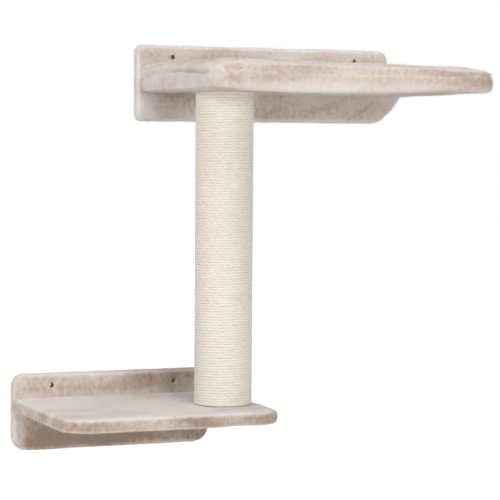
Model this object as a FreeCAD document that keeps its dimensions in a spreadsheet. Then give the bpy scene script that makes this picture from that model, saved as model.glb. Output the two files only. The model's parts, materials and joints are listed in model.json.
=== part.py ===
import FreeCAD, Part
import math
import os
import re
from collections import namedtuple

import Sketcher
from FreeCAD import Placement, Rotation, Vector

# Cat climbing wall: two plush-covered shelf units on a wall, joined by one sisal-wound post.
# Frame: X along the wall to the right, Y into the wall, Z up. The wall is the plane Y = 0.
# The origin is midway between the two upper wall screw holes. Millimetres throughout.

os.makedirs("parts", exist_ok=True)
doc = FreeCAD.newDocument("cat_climbing_wall")

# Driving dimensions: alias, value, what it is
SIZES = (
    ("wall_board_thickness", "16", "chipboard of both wall boards"),
    ("wall_board_height", "116", "height of both wall boards"),
    ("wall_board_corner", "22", "corner radius of both wall boards"),
    ("hole_drop", "16", "board's top edge down to the wall screw holes"),
    ("wall_hole_diameter", "7", "wall screw hole through a board and its plush"),
    ("pile", "3", "plush where it stands free"),
    ("pressed_pile", "1", "plush under load"),
    ("hem_thickness", "1.5", "plush folded flat behind a wall board"),
    ("hem_width", "24", "width of the fold behind a wall board"),
    ("pile_rim", "6", "rounding of the plush over an edge"),
    ("crease_rim", "2.4", "rounding of the plush at the crease under the pad"),
    ("seat_clearance", "0.3", "room round a piece that sinks into the plush"),
    ("fit_clearance", "0.1", "radial clearance of screws, dowels and bolts"),
    ("upper_wall_board_width", "442", "length of the upper wall board"),
    ("upper_hole_spacing", "324", "between the upper wall screw holes"),
    ("upper_shelf_thickness", "19", "chipboard of the upper shelf"),
    ("upper_shelf_depth", "329", "upper shelf, wall to front edge"),
    ("upper_shelf_left", "73", "post axis to the upper shelf's left end"),
    ("upper_shelf_right", "396", "post axis to the upper shelf's right end"),
    ("upper_shelf_left_corner", "42", "front left corner radius"),
    ("upper_shelf_right_corner", "44", "front right corner radius"),
    ("upper_shelf_drop", "55", "upper hole line down to the shelf board's underside"),
    ("upper_screw_span", "390", "first to last joint screw of the upper unit"),
    ("upper_screw_count", "4", "joint screws of the upper unit"),
    ("upper_dowel_span", "260", "first to last dowel of the upper unit"),
    ("upper_dowel_count", "3", "dowels of the upper unit"),
    ("lower_wall_board_width", "327", "length of the lower wall board"),
    ("lower_hole_spacing", "206", "between the lower wall screw holes"),
    ("lower_shelf_thickness", "15", "chipboard of the lower shelf"),
    ("lower_shelf_depth", "284", "lower shelf, wall to front edge"),
    ("lower_shelf_left", "286", "post axis to the lower shelf's left end"),
    ("lower_shelf_right", "53", "post axis to the lower shelf's right end"),
    ("lower_shelf_left_corner", "38", "front left corner radius"),
    ("lower_shelf_right_corner", "35", "front right corner radius"),
    ("lower_shelf_drop", "21.5", "lower hole line down to the shelf board's top"),
    ("lower_screw_span", "220", "first to last joint screw of the lower unit"),
    ("lower_screw_count", "3", "joint screws of the lower unit"),
    ("lower_dowel_span", "110", "first to last dowel of the lower unit"),
    ("lower_dowel_count", "2", "dowels of the lower unit"),
    ("post_shift", "140", "upper wall board's centre to the post axis, leftwards"),
    ("lower_board_shift", "122", "post axis to the lower wall board's centre, leftwards"),
    ("post_setback", "170", "shelf's back edge to the post axis"),
    ("pad_height", "18", "foam pad at its crown"),
    ("pad_roll", "30", "how far the pad rolls in at its left and front sides"),
    ("pad_right_roll", "60", "how far the pad rolls in at its right end"),
    ("pad_back_roll", "20", "how far the pad rolls in beside the wall"),
    ("post_length", "488", "post between the pressed covers of the shelves"),
    ("tube_diameter", "82", "outside of the cardboard tube"),
    ("tube_wall", "5", "wall of the cardboard tube"),
    ("rope_seat", "0.3", "glue line between the tube and the rope"),
    ("rope_diameter", "3.7", "sisal rope as it lies"),
    ("rope_pitch", "4.2", "rise of one turn of the rope"),
    ("rope_end_turns", "3", "modelled turns at each end of the post"),
    ("rope_sides", "6", "sides of the rope's section"),
    ("plug_height", "25", "wooden plug in each end of the tube"),
    ("plug_clearance", "0.2", "glue line round a plug"),
    ("plug_chamfer", "1.5", "lead-in of a plug"),
    ("insert_length", "16", "threaded insert, flange included"),
    ("insert_sleeve_diameter", "11", "sleeve of a threaded insert"),
    ("insert_flange_diameter", "22", "flange of a threaded insert"),
    ("insert_flange_thickness", "1.5", "flange of a threaded insert"),
    ("bolt_diameter", "8", "both post bolts"),
    ("bolt_hole_diameter", "8.8", "bolt hole in boards and plush"),
    ("bolt_reach", "22", "how far a bolt goes into the post"),
    ("bolt_head_flats", "13", "hexagon of the lower bolt, across flats"),
    ("bolt_head_height", "5.3", "hexagon of the lower bolt"),
    ("flat_head_diameter", "20", "head of the upper bolt"),
    ("flat_head_height", "3", "head of the upper bolt"),
    ("bolt_tip_chamfer", "1", "lead-in of a bolt"),
    ("washer_diameter", "24", "washer under the lower bolt's head"),
    ("washer_thickness", "1.6", "washer under the lower bolt's head"),
    ("screw_length", "50", "joint screw"),
    ("screw_head_diameter", "10", "joint screw's countersunk head"),
    ("screw_head_height", "1.5", "joint screw's countersunk head"),
    ("screw_shank_diameter", "7", "joint screw in the wall board"),
    ("screw_core_diameter", "5", "joint screw in the shelf"),
    ("screw_tip", "3", "joint screw's point"),
    ("dowel_diameter", "8", "dowel"),
    ("dowel_length", "30", "dowel"),
    ("dowel_depth", "12", "dowel in the wall board"),
    ("dowel_chamfer", "1", "lead-in of a dowel"),
    ("end_room", "1", "room past the end of a screw, dowel or bolt"),
)
sheet = doc.addObject("Spreadsheet::Sheet", "Sizes")
for row, (alias, text, note) in enumerate(SIZES, start=1):
    sheet.set(f"A{row}", alias)
    sheet.set(f"B{row}", text)
    sheet.set(f"C{row}", note)
    sheet.setAlias(f"B{row}", alias)
doc.recompute()

# Shares of the pad's height and of its roll, from its drawn-in seam up to its crown
CROWN_HEIGHT_SHARES = (0.0, 0.12, 0.3, 0.62, 0.84, 0.96, 1.0)
CROWN_ROLL_SHARES = (0.07, 0.015, 0.0, 0.11, 0.31, 0.6, 1.0)

# Places worked out from the driving dimensions, as expressions over their aliases
Unit = namedtuple("Unit", "name board_x line_z shelf_z row_z centre_x")
PAIR_DROP = "(upper_shelf_drop + post_length + 2 * pressed_pile - lower_shelf_drop)"
UPPER = Unit(
    name="upper",
    board_x="0",
    line_z="0",
    shelf_z="-upper_shelf_drop",
    row_z="-(upper_shelf_drop - upper_shelf_thickness / 2)",
    centre_x="post_shift",
)
LOWER = Unit(
    name="lower",
    board_x="-(post_shift + lower_board_shift)",
    line_z=f"-{PAIR_DROP}",
    shelf_z=f"-({PAIR_DROP} + lower_shelf_drop + lower_shelf_thickness)",
    row_z="-(lower_shelf_drop + lower_shelf_thickness / 2)",
    centre_x="-lower_board_shift",
)
POST_X = "-post_shift"
POST_Y = "-(hem_thickness + wall_board_thickness + pressed_pile + post_setback)"
POST_Z = "-(upper_shelf_drop + pressed_pile + post_length)"
SHELF_BACK = "post_setback"
POST_DIAMETER = "(tube_diameter + 2 * (rope_seat + rope_diameter))"
TUBE_BORE = "(tube_diameter - 2 * tube_wall)"
PRESS_DEPTH = "(pile - pressed_pile)"
SCREW_HOLE = "(screw_shank_diameter + 2 * fit_clearance)"
PILOT_HOLE = "(screw_core_diameter + 2 * fit_clearance)"
DOWEL_HOLE = "(dowel_diameter + 2 * fit_clearance)"


def cell(text):
    """Write an expression over aliases as one over the sheet's cells."""
    return re.sub(r"[a-z][a-z_]+", lambda match: "Sizes." + match.group(), str(text))


def number(text):
    """Give the value of an expression over aliases."""
    return float(sheet.evalExpression(cell(text)))


def new_body(label):
    """Start one sub-part."""
    body = doc.addObject("PartDesign::Body", label)
    body.Label = label
    return body


def place(body, x="0", y="0", z="0"):
    """Put a sub-part's own origin at a point of the object's frame."""
    for axis, text in (("x", x), ("y", y), ("z", z)):
        body.setExpression(f"Placement.Base.{axis}", cell(text))


def origin_feature(body, role):
    """Find an origin plane or axis of a body by its role."""
    return next(item for item in body.Origin.OriginFeatures if item.Role == role)


def sketch_on(body, role, height="0"):
    """Start a sketch on an origin plane, raised along that plane's normal."""
    sketch = body.newObject("Sketcher::SketchObject", f"{body.Name}_sketch")
    sketch.AttachmentSupport = [(origin_feature(body, role), "")]
    sketch.MapMode = "FlatFace"
    sketch.setExpression("AttachmentOffset.Base.z", cell(height))
    return sketch


def bind(sketch, constraint, text):
    """Add a dimension to a sketch and tie it to the sheet."""
    index = sketch.addConstraint(constraint)
    name = f"size_{index}"
    sketch.renameConstraint(index, name)
    sketch.setExpression(f"Constraints.{name}", cell(text))


def outline(sketch, sides, corners=(None, None, None, None)):
    """Draw a rectangle given by its four sides, with any of its corners rounded.

    sides are the left, right, low and high coordinates; corners are the radii of the
    low left, low right, high right and high left corners, None where the corner is sharp.
    """
    left, right, low, high = (number(side) for side in sides)
    points = (Vector(left, low), Vector(right, low), Vector(right, high), Vector(left, high))
    along = (Vector(1, 0), Vector(0, 1), Vector(-1, 0), Vector(0, -1))
    radii = [number(corner) if corner else 0.0 for corner in corners]
    lines = []
    for side in range(4):
        start = points[side] + along[side] * radii[side]
        end = points[(side + 1) % 4] - along[side] * radii[(side + 1) % 4]
        lines.append(sketch.addGeometry(Part.LineSegment(start, end), False))
    for side, line in enumerate(lines):
        sketch.addConstraint(Sketcher.Constraint("Vertical" if side % 2 else "Horizontal", line))
    for corner in range(4):
        before, after = lines[corner - 1], lines[corner]
        if not corners[corner]:
            sketch.addConstraint(Sketcher.Constraint("Coincident", before, 2, after, 1))
            continue
        centre = points[corner] + (along[corner] - along[corner - 1]) * radii[corner]
        turn = math.pi / 2 * (corner + 2)
        circle = Part.Circle(centre, Vector(0, 0, 1), radii[corner])
        arc = sketch.addGeometry(Part.ArcOfCircle(circle, turn, turn + math.pi / 2), False)
        sketch.addConstraint(Sketcher.Constraint("Tangent", before, 2, arc, 1))
        sketch.addConstraint(Sketcher.Constraint("Tangent", arc, 2, after, 1))
        bind(sketch, Sketcher.Constraint("Radius", arc, radii[corner]), corners[corner])
    bind(sketch, Sketcher.Constraint("DistanceX", -1, 1, lines[3], 1, left), sides[0])
    bind(sketch, Sketcher.Constraint("DistanceX", -1, 1, lines[1], 1, right), sides[1])
    bind(sketch, Sketcher.Constraint("DistanceY", -1, 1, lines[0], 1, low), sides[2])
    bind(sketch, Sketcher.Constraint("DistanceY", -1, 1, lines[2], 1, high), sides[3])


def disc(sketch, diameter, x="0", y="0"):
    """Draw a circle of a sheet-bound diameter about a sheet-bound centre."""
    centre = Vector(number(x), number(y), 0)
    radius = number(diameter) / 2
    circle = sketch.addGeometry(Part.Circle(centre, Vector(0, 0, 1), radius), False)
    bind(sketch, Sketcher.Constraint("Diameter", circle, number(diameter)), diameter)
    bind(sketch, Sketcher.Constraint("DistanceX", -1, 1, circle, 3, centre.x), x)
    bind(sketch, Sketcher.Constraint("DistanceY", -1, 1, circle, 3, centre.y), y)


def pad(body, sketch, length):
    """Raise a sketch along its normal."""
    feature = body.newObject("PartDesign::Pad", f"{body.Name}_pad")
    feature.Profile = sketch
    feature.setExpression("Length", cell(length))
    doc.recompute()
    return feature


def pocket(body, sketch, depth=None, onward=False):
    """Cut a sketch out, against its normal or onward along it, to a depth or right through."""
    before = body.Shape.Volume
    feature = body.newObject("PartDesign::Pocket", f"{body.Name}_pocket")
    feature.Profile = sketch
    feature.Reversed = onward
    if depth is None:
        feature.Type = "ThroughAll"
    else:
        feature.setExpression("Length", cell(depth))
    doc.recompute()
    if not feature.Shape.Volume < before:
        raise RuntimeError(f"{feature.Name} cuts nothing")
    return feature


def repeat(body, feature, span, count):
    """Repeat a feature along X, from its own place over a span."""
    pattern = body.newObject("PartDesign::LinearPattern", f"{body.Name}_row")
    pattern.Originals = [feature]
    pattern.Direction = (origin_feature(body, "X_Axis"), [""])
    pattern.setExpression("Length", cell(span))
    pattern.setExpression("Occurrences", cell(count))
    body.Tip = pattern
    doc.recompute()
    return pattern


def mirror_across(body, feature):
    """Mirror a feature to the other side of the body's middle."""
    twin = body.newObject("PartDesign::Mirrored", f"{body.Name}_mirror")
    twin.Originals = [feature]
    twin.MirrorPlane = (origin_feature(body, "YZ_Plane"), [""])
    body.Tip = twin
    doc.recompute()
    return twin


def edges_where(shape, test):
    """Name the edges of a shape that pass a test."""
    return [f"Edge{index}" for index, edge in enumerate(shape.Edges, start=1) if test(edge)]


def lies_at(edge, axis, text):
    """Say whether an edge lies in the plane where an axis has a given value."""
    tolerance = 1e-6
    low = getattr(edge.BoundBox, f"{axis}Min")
    high = getattr(edge.BoundBox, f"{axis}Max")
    return abs(low - number(text)) < tolerance and abs(high - number(text)) < tolerance


def dress(body, kind, test, size_name, size):
    """Round or chamfer the edges of the last feature that pass a test."""
    base = body.Tip
    feature = body.newObject(f"PartDesign::{kind}", f"{body.Name}_{kind.lower()}")
    feature.Base = (base, edges_where(base.Shape, test))
    feature.setExpression(size_name, cell(size))
    doc.recompute()
    return feature


def loft_through(body, kind, sections):
    """Loft through a stack of sketches, adding or cutting."""
    feature = body.newObject(f"PartDesign::{kind}Loft", f"{body.Name}_loft")
    feature.Profile = sections[0]
    feature.Sections = sections[1:]
    feature.Ruled = True
    doc.recompute()
    return feature


def revolve(body, points):
    """Turn a profile of (radius, height) points about the body's Y axis."""
    sketch = sketch_on(body, "XY_Plane")
    spots = [Vector(number(radius), number(height), 0) for radius, height in points]
    lines = []
    for index, spot in enumerate(spots):
        line = Part.LineSegment(spot, spots[(index + 1) % len(spots)])
        lines.append(sketch.addGeometry(line, False))
    for index, line in enumerate(lines):
        sketch.addConstraint(Sketcher.Constraint("Coincident", line, 2, lines[(index + 1) % len(lines)], 1))
    for line, (radius, height) in zip(lines, points):
        bind(sketch, Sketcher.Constraint("DistanceX", -1, 1, line, 1, number(radius)), radius)
        bind(sketch, Sketcher.Constraint("DistanceY", -1, 1, line, 1, number(height)), height)
    feature = body.newObject("PartDesign::Revolution", f"{body.Name}_revolution")
    feature.Profile = sketch
    feature.ReferenceAxis = (sketch, ["V_Axis"])
    feature.Angle = 360
    doc.recompute()
    return feature


# Wall boards


def board_sides(unit, grow="0"):
    """Sides of a wall board's outline about its hole line, grown or shrunk."""
    half = f"({unit.name}_wall_board_width / 2 + {grow})"
    low = f"-(wall_board_height - hole_drop + {grow})"
    return (f"-{half}", half, low, f"hole_drop + {grow}")


def joint_holes(body, unit, role, height, centre_x, row, kind, diameter, depth, onward):
    """Cut the row of joint screw or dowel holes of a unit."""
    sketch = sketch_on(body, role, height)
    disc(sketch, diameter, f"{centre_x} - {unit.name}_{kind}_span / 2", row)
    hole = pocket(body, sketch, depth, onward)
    return repeat(body, hole, f"{unit.name}_{kind}_span", f"{unit.name}_{kind}_count")


def wall_board(unit):
    """Chipboard panel with wall screw holes, joint screw holes and dowel sockets."""
    body = new_body(f"{unit.name}_wall_board")
    panel = sketch_on(body, "XZ_Plane")
    outline(panel, board_sides(unit), ("wall_board_corner",) * 4)
    pad(body, panel, "wall_board_thickness")
    wall_hole = sketch_on(body, "XZ_Plane")
    disc(wall_hole, "wall_hole_diameter", f"-{unit.name}_hole_spacing / 2")
    mirror_across(body, pocket(body, wall_hole, None, True))
    joint_holes(body, unit, "XZ_Plane", "0", "0", unit.row_z, "screw", SCREW_HOLE, None, True)
    joint_holes(body, unit, "XZ_Plane", "wall_board_thickness", "0", unit.row_z,
                "dowel", DOWEL_HOLE, "dowel_depth + end_room / 2", False)
    rim = number(SCREW_HOLE) / 2
    dress(body, "Chamfer",
          lambda edge: lies_at(edge, "Y", "0") and abs(getattr(edge.Curve, "Radius", 0) - rim) < 1e-6,
          "Size", "screw_head_height")
    place(body, unit.board_x, "-hem_thickness", unit.line_z)
    return body


def shelf_span(unit, grow="0"):
    """Left and right ends of a shelf, from the post axis."""
    return (f"-({unit.name}_shelf_left + {grow})", f"{unit.name}_shelf_right + {grow}")


def wall_board_cover(unit):
    """Plush over the front and the edges of a wall board, with its hem folded behind."""
    body = new_body(f"{unit.name}_wall_board_cover")
    depth = "(hem_thickness + wall_board_thickness + pile)"
    skin = sketch_on(body, "XZ_Plane")
    outline(skin, board_sides(unit, "pile"), ("wall_board_corner + pile",) * 4)
    pad(body, skin, depth)
    dress(body, "Fillet", lambda edge: lies_at(edge, "Y", f"-{depth}"), "Radius", "pile_rim")
    room = sketch_on(body, "XZ_Plane", "hem_thickness")
    outline(room, board_sides(unit), ("wall_board_corner",) * 4)
    pocket(body, room, "wall_board_thickness", True)
    back = sketch_on(body, "XZ_Plane")
    outline(back, board_sides(unit, "(-hem_width)"))
    pocket(body, back, "hem_thickness", True)
    left, right = shelf_span(unit, "pile + seat_clearance")
    top = f"{unit.row_z} + ({unit.name}_shelf_thickness / 2 + pile + seat_clearance)"
    bottom = f"{unit.row_z} - ({unit.name}_shelf_thickness / 2 + pile + seat_clearance)"
    seat = sketch_on(body, "XZ_Plane", depth)
    shift = f"({unit.centre_x})"
    outline(seat, (f"{left} - {shift}", f"{right} - {shift}", bottom, top))
    pocket(body, seat, PRESS_DEPTH, False)
    wall_hole = sketch_on(body, "XZ_Plane")
    disc(wall_hole, "wall_hole_diameter", f"-{unit.name}_hole_spacing / 2")
    mirror_across(body, pocket(body, wall_hole, None, True))
    joint_holes(body, unit, "XZ_Plane", "0", "0", unit.row_z, "screw", SCREW_HOLE, None, True)
    joint_holes(body, unit, "XZ_Plane", "0", "0", unit.row_z, "dowel", DOWEL_HOLE, None, True)
    place(body, unit.board_x, "0", unit.line_z)
    return body


# Shelves


def shelf_sides(unit, grow="0"):
    """Sides of a shelf's outline about the post axis, grown except at the wall."""
    left, right = shelf_span(unit, grow)
    front = f"{SHELF_BACK} - {unit.name}_shelf_depth - {grow}"
    return (left, right, front, SHELF_BACK)


def shelf_corners(unit, grow="0"):
    """Radii of a shelf's corners: rounded in front, square at the wall."""
    return (
        f"{unit.name}_shelf_left_corner + {grow}",
        f"{unit.name}_shelf_right_corner + {grow}",
        None,
        None,
    )


def shelf_board(unit):
    """Chipboard shelf with its post bolt hole, screw pilots and dowel sockets."""
    body = new_body(f"{unit.name}_shelf_board")
    thickness = f"{unit.name}_shelf_thickness"
    panel = sketch_on(body, "XY_Plane")
    outline(panel, shelf_sides(unit), shelf_corners(unit))
    pad(body, panel, thickness)
    bolt = sketch_on(body, "XY_Plane")
    disc(bolt, "bolt_hole_diameter")
    pocket(body, bolt, None, True)
    if unit is UPPER:
        head = sketch_on(body, "XY_Plane", thickness)
        disc(head, "flat_head_diameter + 2 * fit_clearance")
        pocket(body, head, "flat_head_height")
    middle = f"{thickness} / 2"
    in_wall = "(wall_board_thickness + pressed_pile)"
    joint_holes(body, unit, "XZ_Plane", f"-{SHELF_BACK}", unit.centre_x, middle,
                "screw", PILOT_HOLE, f"screw_length - {in_wall} + end_room", True)
    joint_holes(body, unit, "XZ_Plane", f"-{SHELF_BACK}", unit.centre_x, middle,
                "dowel", DOWEL_HOLE, "dowel_length - dowel_depth - pressed_pile + end_room", True)
    place(body, POST_X, POST_Y, unit.shelf_z)
    return body


def crown_sections(body, height, skin):
    """Stack the outlines of the crowned pad, or of the plush that lies a skin outside it."""
    sections = []
    for rise, roll in zip(CROWN_HEIGHT_SHARES, CROWN_ROLL_SHARES):
        sketch = sketch_on(body, "XY_Plane", f"upper_shelf_thickness + {rise} * ({height})")
        left = f"-(upper_shelf_left + {skin} - {roll} * pad_roll)"
        right = f"upper_shelf_right + {skin} - {roll} * pad_right_roll"
        front = f"{SHELF_BACK} - upper_shelf_depth - {skin} + {roll} * pad_roll"
        clear = f"{PRESS_DEPTH} + seat_clearance + pile - {skin}"
        back = f"{SHELF_BACK} - ({clear} + {roll} * pad_back_roll)"
        radii = shelf_corners(UPPER, f"{skin} - {roll} * pad_roll")
        outline(sketch, (left, right, front, back), radii)
        sections.append(sketch)
    return sections


def shelf_pad():
    """Foam pad on the upper shelf, drawn in at its seam and crowned on top."""
    body = new_body("upper_shelf_padding")
    loft_through(body, "Additive", crown_sections(body, "pad_height", "0"))
    place(body, POST_X, POST_Y, UPPER.shelf_z)
    return body


def shelf_cover(unit):
    """Plush bag over a shelf, open at the wall, pressed flat under the post."""
    body = new_body(f"{unit.name}_shelf_cover")
    thickness = f"{unit.name}_shelf_thickness"
    wrap = sketch_on(body, "XY_Plane", "-pile")
    outline(wrap, shelf_sides(unit, "pile"), shelf_corners(unit, "pile"))
    rise = f"{thickness} + pile" if unit is UPPER else f"{thickness} + 2 * pile"
    pad(body, wrap, rise)

    def on_rim(level):
        return lambda edge: lies_at(edge, "Z", level) and not lies_at(edge, "Y", SHELF_BACK)

    dress(body, "Fillet", on_rim("-pile"), "Radius", "pile_rim")
    if unit is UPPER:
        dress(body, "Fillet", on_rim(thickness), "Radius", "crease_rim")
        loft_through(body, "Additive", crown_sections(body, "pad_height + pile", "pile"))
        loft_through(body, "Subtractive", crown_sections(body, "pad_height", "0"))
    else:
        dress(body, "Fillet", on_rim(f"{thickness} + pile"), "Radius", "pile_rim")
    room = sketch_on(body, "XY_Plane")
    outline(room, shelf_sides(unit), shelf_corners(unit))
    pocket(body, room, thickness, True)
    foot = sketch_on(body, "XY_Plane", "-pile" if unit is UPPER else f"{thickness} + pile")
    disc(foot, f"{POST_DIAMETER} + 2 * seat_clearance")
    pocket(body, foot, PRESS_DEPTH, unit is UPPER)
    bolt = sketch_on(body, "XY_Plane", "-pile")
    disc(bolt, "bolt_hole_diameter")
    pocket(body, bolt, "pile" if unit is UPPER else None, True)
    if unit is LOWER:
        washer = sketch_on(body, "XY_Plane", "-pile")
        disc(washer, "washer_diameter + 2 * seat_clearance")
        pocket(body, washer, PRESS_DEPTH, True)
    place(body, POST_X, POST_Y, unit.shelf_z)
    return body


# Joint fasteners


def joint_screws(unit):
    """Row of countersunk chipboard screws through a wall board into its shelf."""
    body = new_body(f"{unit.name}_shelf_screws")
    neck = "screw_shank_diameter / 2"
    core = "screw_core_diameter / 2"
    shoulder = "-(wall_board_thickness - end_room)"
    screw = revolve(body, (
        ("0", "0"),
        ("screw_head_diameter / 2", "0"),
        (neck, "-screw_head_height"),
        (neck, shoulder),
        (core, shoulder),
        (core, "-(screw_length - screw_tip)"),
        ("0", "-screw_length"),
    ))
    repeat(body, screw, f"{unit.name}_screw_span", f"{unit.name}_screw_count")
    place(body, f"{unit.board_x} - {unit.name}_screw_span / 2", "-hem_thickness",
          f"{unit.line_z} + ({unit.row_z})")
    return body


def joint_dowels(unit):
    """Row of wooden dowels between a wall board and its shelf."""
    body = new_body(f"{unit.name}_shelf_dowels")
    radius = "dowel_diameter / 2"
    lead = f"{radius} - dowel_chamfer"
    dowel = revolve(body, (
        ("0", "0"),
        (radius, "0"),
        (radius, "-(dowel_length - dowel_chamfer)"),
        (lead, "-dowel_length"),
        ("0", "-dowel_length"),
    ))
    repeat(body, dowel, f"{unit.name}_dowel_span", f"{unit.name}_dowel_count")
    place(body, f"{unit.board_x} - {unit.name}_dowel_span / 2",
          "-(hem_thickness + wall_board_thickness - dowel_depth)",
          f"{unit.line_z} + ({unit.row_z})")
    return body


# Post


def post_tube():
    """Cardboard tube that carries the rope."""
    body = new_body("post_tube")
    ring = sketch_on(body, "XY_Plane")
    disc(ring, "tube_diameter")
    disc(ring, TUBE_BORE)
    pad(body, ring, "post_length")
    place(body, POST_X, POST_Y, POST_Z)
    return body


def end_plug(end):
    """Wooden plug with a stepped bore for its threaded insert, its outer face at height 0."""
    body = new_body(f"post_{end}_plug")
    block = sketch_on(body, "XY_Plane")
    disc(block, f"{TUBE_BORE} - 2 * plug_clearance")
    pad(body, block, "plug_height")
    dress(body, "Chamfer", lambda edge: lies_at(edge, "Z", "plug_height"), "Size", "plug_chamfer")
    bore = sketch_on(body, "XY_Plane")
    disc(bore, "insert_sleeve_diameter + 2 * fit_clearance")
    pocket(body, bore, None, True)
    flange = sketch_on(body, "XY_Plane", "plug_height")
    disc(flange, "insert_flange_diameter + 2 * fit_clearance")
    pocket(body, flange, "insert_flange_thickness")
    return stand(body, end)


def stand(body, end):
    """Stand a piece on the post's lower end, or hang it turned over from the upper end."""
    if end == "upper":
        body.Placement = Placement(Vector(), Rotation(Vector(1, 0, 0), 180))
        place(body, POST_X, POST_Y, f"{POST_Z} + post_length")
    else:
        place(body, POST_X, POST_Y, POST_Z)
    return body


def threaded_insert(end):
    """Flanged steel insert, pulled against the plug's inner face."""
    body = new_body(f"post_{end}_insert")
    sleeve = sketch_on(body, "XY_Plane", "plug_height - insert_length")
    disc(sleeve, "insert_sleeve_diameter")
    pad(body, sleeve, "insert_length")
    flange = sketch_on(body, "XY_Plane", "plug_height - insert_flange_thickness")
    disc(flange, "insert_flange_diameter")
    pad(body, flange, "insert_flange_thickness")
    bore = sketch_on(body, "XY_Plane")
    disc(bore, "bolt_diameter + 2 * fit_clearance")
    pocket(body, bore, None, True)
    return stand(body, end)


def post_lower_bolt():
    """Hexagon bolt from under the lower shelf into the post."""
    body = new_body("post_lower_bolt")
    seat = "(2 * pressed_pile + lower_shelf_thickness + washer_thickness)"
    head = sketch_on(body, "XY_Plane", f"-({seat} + bolt_head_height)")
    hexagon(head, "bolt_head_flats")
    pad(body, head, "bolt_head_height")
    shank = sketch_on(body, "XY_Plane", f"-{seat}")
    disc(shank, "bolt_diameter")
    pad(body, shank, f"{seat} + bolt_reach")
    dress(body, "Chamfer", lambda edge: lies_at(edge, "Z", "bolt_reach"), "Size", "bolt_tip_chamfer")
    return stand(body, "lower")


def hexagon(sketch, flats):
    """Draw a regular hexagon about the origin, sized across its flats."""
    corner = number(flats) / math.sqrt(3)
    spots = []
    for step in range(6):
        angle = math.pi / 3 * step
        spots.append(Vector(corner * math.cos(angle), corner * math.sin(angle), 0))
    lines = []
    for step in range(6):
        line = Part.LineSegment(spots[step], spots[(step + 1) % 6])
        lines.append(sketch.addGeometry(line, False))
    circle = sketch.addGeometry(Part.Circle(Vector(), Vector(0, 0, 1), corner), True)
    sketch.addConstraint(Sketcher.Constraint("Coincident", circle, 3, -1, 1))
    for step in range(6):
        after = lines[(step + 1) % 6]
        sketch.addConstraint(Sketcher.Constraint("Coincident", lines[step], 2, after, 1))
        sketch.addConstraint(Sketcher.Constraint("PointOnObject", lines[step], 1, circle))
        if step:
            sketch.addConstraint(Sketcher.Constraint("Equal", lines[0], lines[step]))
    sketch.addConstraint(Sketcher.Constraint("PointOnObject", lines[0], 1, -1))
    half = number(flats) / 2
    bind(sketch, Sketcher.Constraint("DistanceY", -1, 1, lines[1], 1, half), f"{flats} / 2")


def post_upper_bolt():
    """Flat-headed bolt down through the upper shelf into the post, under the pad."""
    body = new_body("post_upper_bolt")
    seat = "(pressed_pile + upper_shelf_thickness - flat_head_height)"
    head = sketch_on(body, "XY_Plane", f"-({seat} + flat_head_height)")
    disc(head, "flat_head_diameter")
    pad(body, head, "flat_head_height")
    shank = sketch_on(body, "XY_Plane", f"-{seat}")
    disc(shank, "bolt_diameter")
    pad(body, shank, f"{seat} + bolt_reach")
    dress(body, "Chamfer", lambda edge: lies_at(edge, "Z", "bolt_reach"), "Size", "bolt_tip_chamfer")
    return stand(body, "upper")


def post_washer():
    """Washer between the lower shelf and its bolt's head."""
    body = new_body("post_lower_washer")
    top = "(2 * pressed_pile + lower_shelf_thickness)"
    ring = sketch_on(body, "XY_Plane", f"-({top} + washer_thickness)")
    disc(ring, "washer_diameter")
    disc(ring, "bolt_diameter + 4 * fit_clearance")
    pad(body, ring, "washer_thickness")
    return stand(body, "lower")


# Rope: the turns at each end of the post are one unbroken tube each, on pairs of arcs;
# the close turns between them are a sleeve of the same thickness

ROPE_RADIUS = number("tube_diameter / 2 + rope_seat + rope_diameter / 2")
ROPE_RISE_SHARE = number("rope_pitch") / (2 * math.pi * ROPE_RADIUS)
TURN_STOP_COUNT = 2


def helix_point(angle, start):
    """Point and direction of the rope's centre line at an angle of the winding."""
    across = Vector(math.cos(angle), math.sin(angle), 0)
    forward = Vector(-math.sin(angle), math.cos(angle), ROPE_RISE_SHARE).normalize()
    rise = Vector(0, 0, start + number("rope_pitch") * angle / (2 * math.pi))
    return across * ROPE_RADIUS + rise, forward


def tangent_arc(start, forward, end):
    """Arc from one point to another that leaves the first along a direction."""
    chord = end - start
    half = chord.getAngle(forward)
    side = (forward - chord * (forward.dot(chord) / chord.dot(chord))).normalize()
    middle = start + chord / 2 + side * (chord.Length / 2 * math.tan(half / 2))
    return Part.Arc(start, middle, end)


def arc_pair(start, forward, end, onward):
    """Two tangent arcs that join two points along their given directions."""
    chord = end - start
    both = chord.dot(forward + onward)
    share = 2 * (1 - forward.dot(onward))
    reach = (math.sqrt(both * both + share * chord.dot(chord)) - both) / share
    joint = (start + forward * reach + end - onward * reach) / 2
    first = tangent_arc(start, forward, joint)
    second = tangent_arc(end, -onward, joint)
    return first, second


def winding(label, start):
    """One unbroken tube of rope turns, its ends straight for one rope diameter."""
    count = int(number("rope_end_turns")) * TURN_STOP_COUNT
    width = number("rope_diameter")
    stops = [helix_point(2 * math.pi * step / TURN_STOP_COUNT, start) for step in range(count + 1)]
    first, aim = stops[0]
    edges = [Part.LineSegment(first - aim * width, first).toShape()]
    for (here, forward), (there, onward) in zip(stops, stops[1:]):
        for arc in arc_pair(here, forward, there, onward):
            edges.append(arc.toShape())
    last, aim = stops[-1]
    edges.append(Part.LineSegment(last, last + aim * width).toShape())
    path = Part.Wire(Part.sortEdges(edges)[0])
    report_gap(label, path, width)
    feature = doc.addObject("Part::Feature", label)
    feature.Label = label
    feature.Shape = rope_tube(path, first - stops[0][1] * width, stops[0][1], width)
    feature.Placement = Placement(Vector(number(POST_X), number(POST_Y), number(POST_Z)), Rotation())
    return feature


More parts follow.
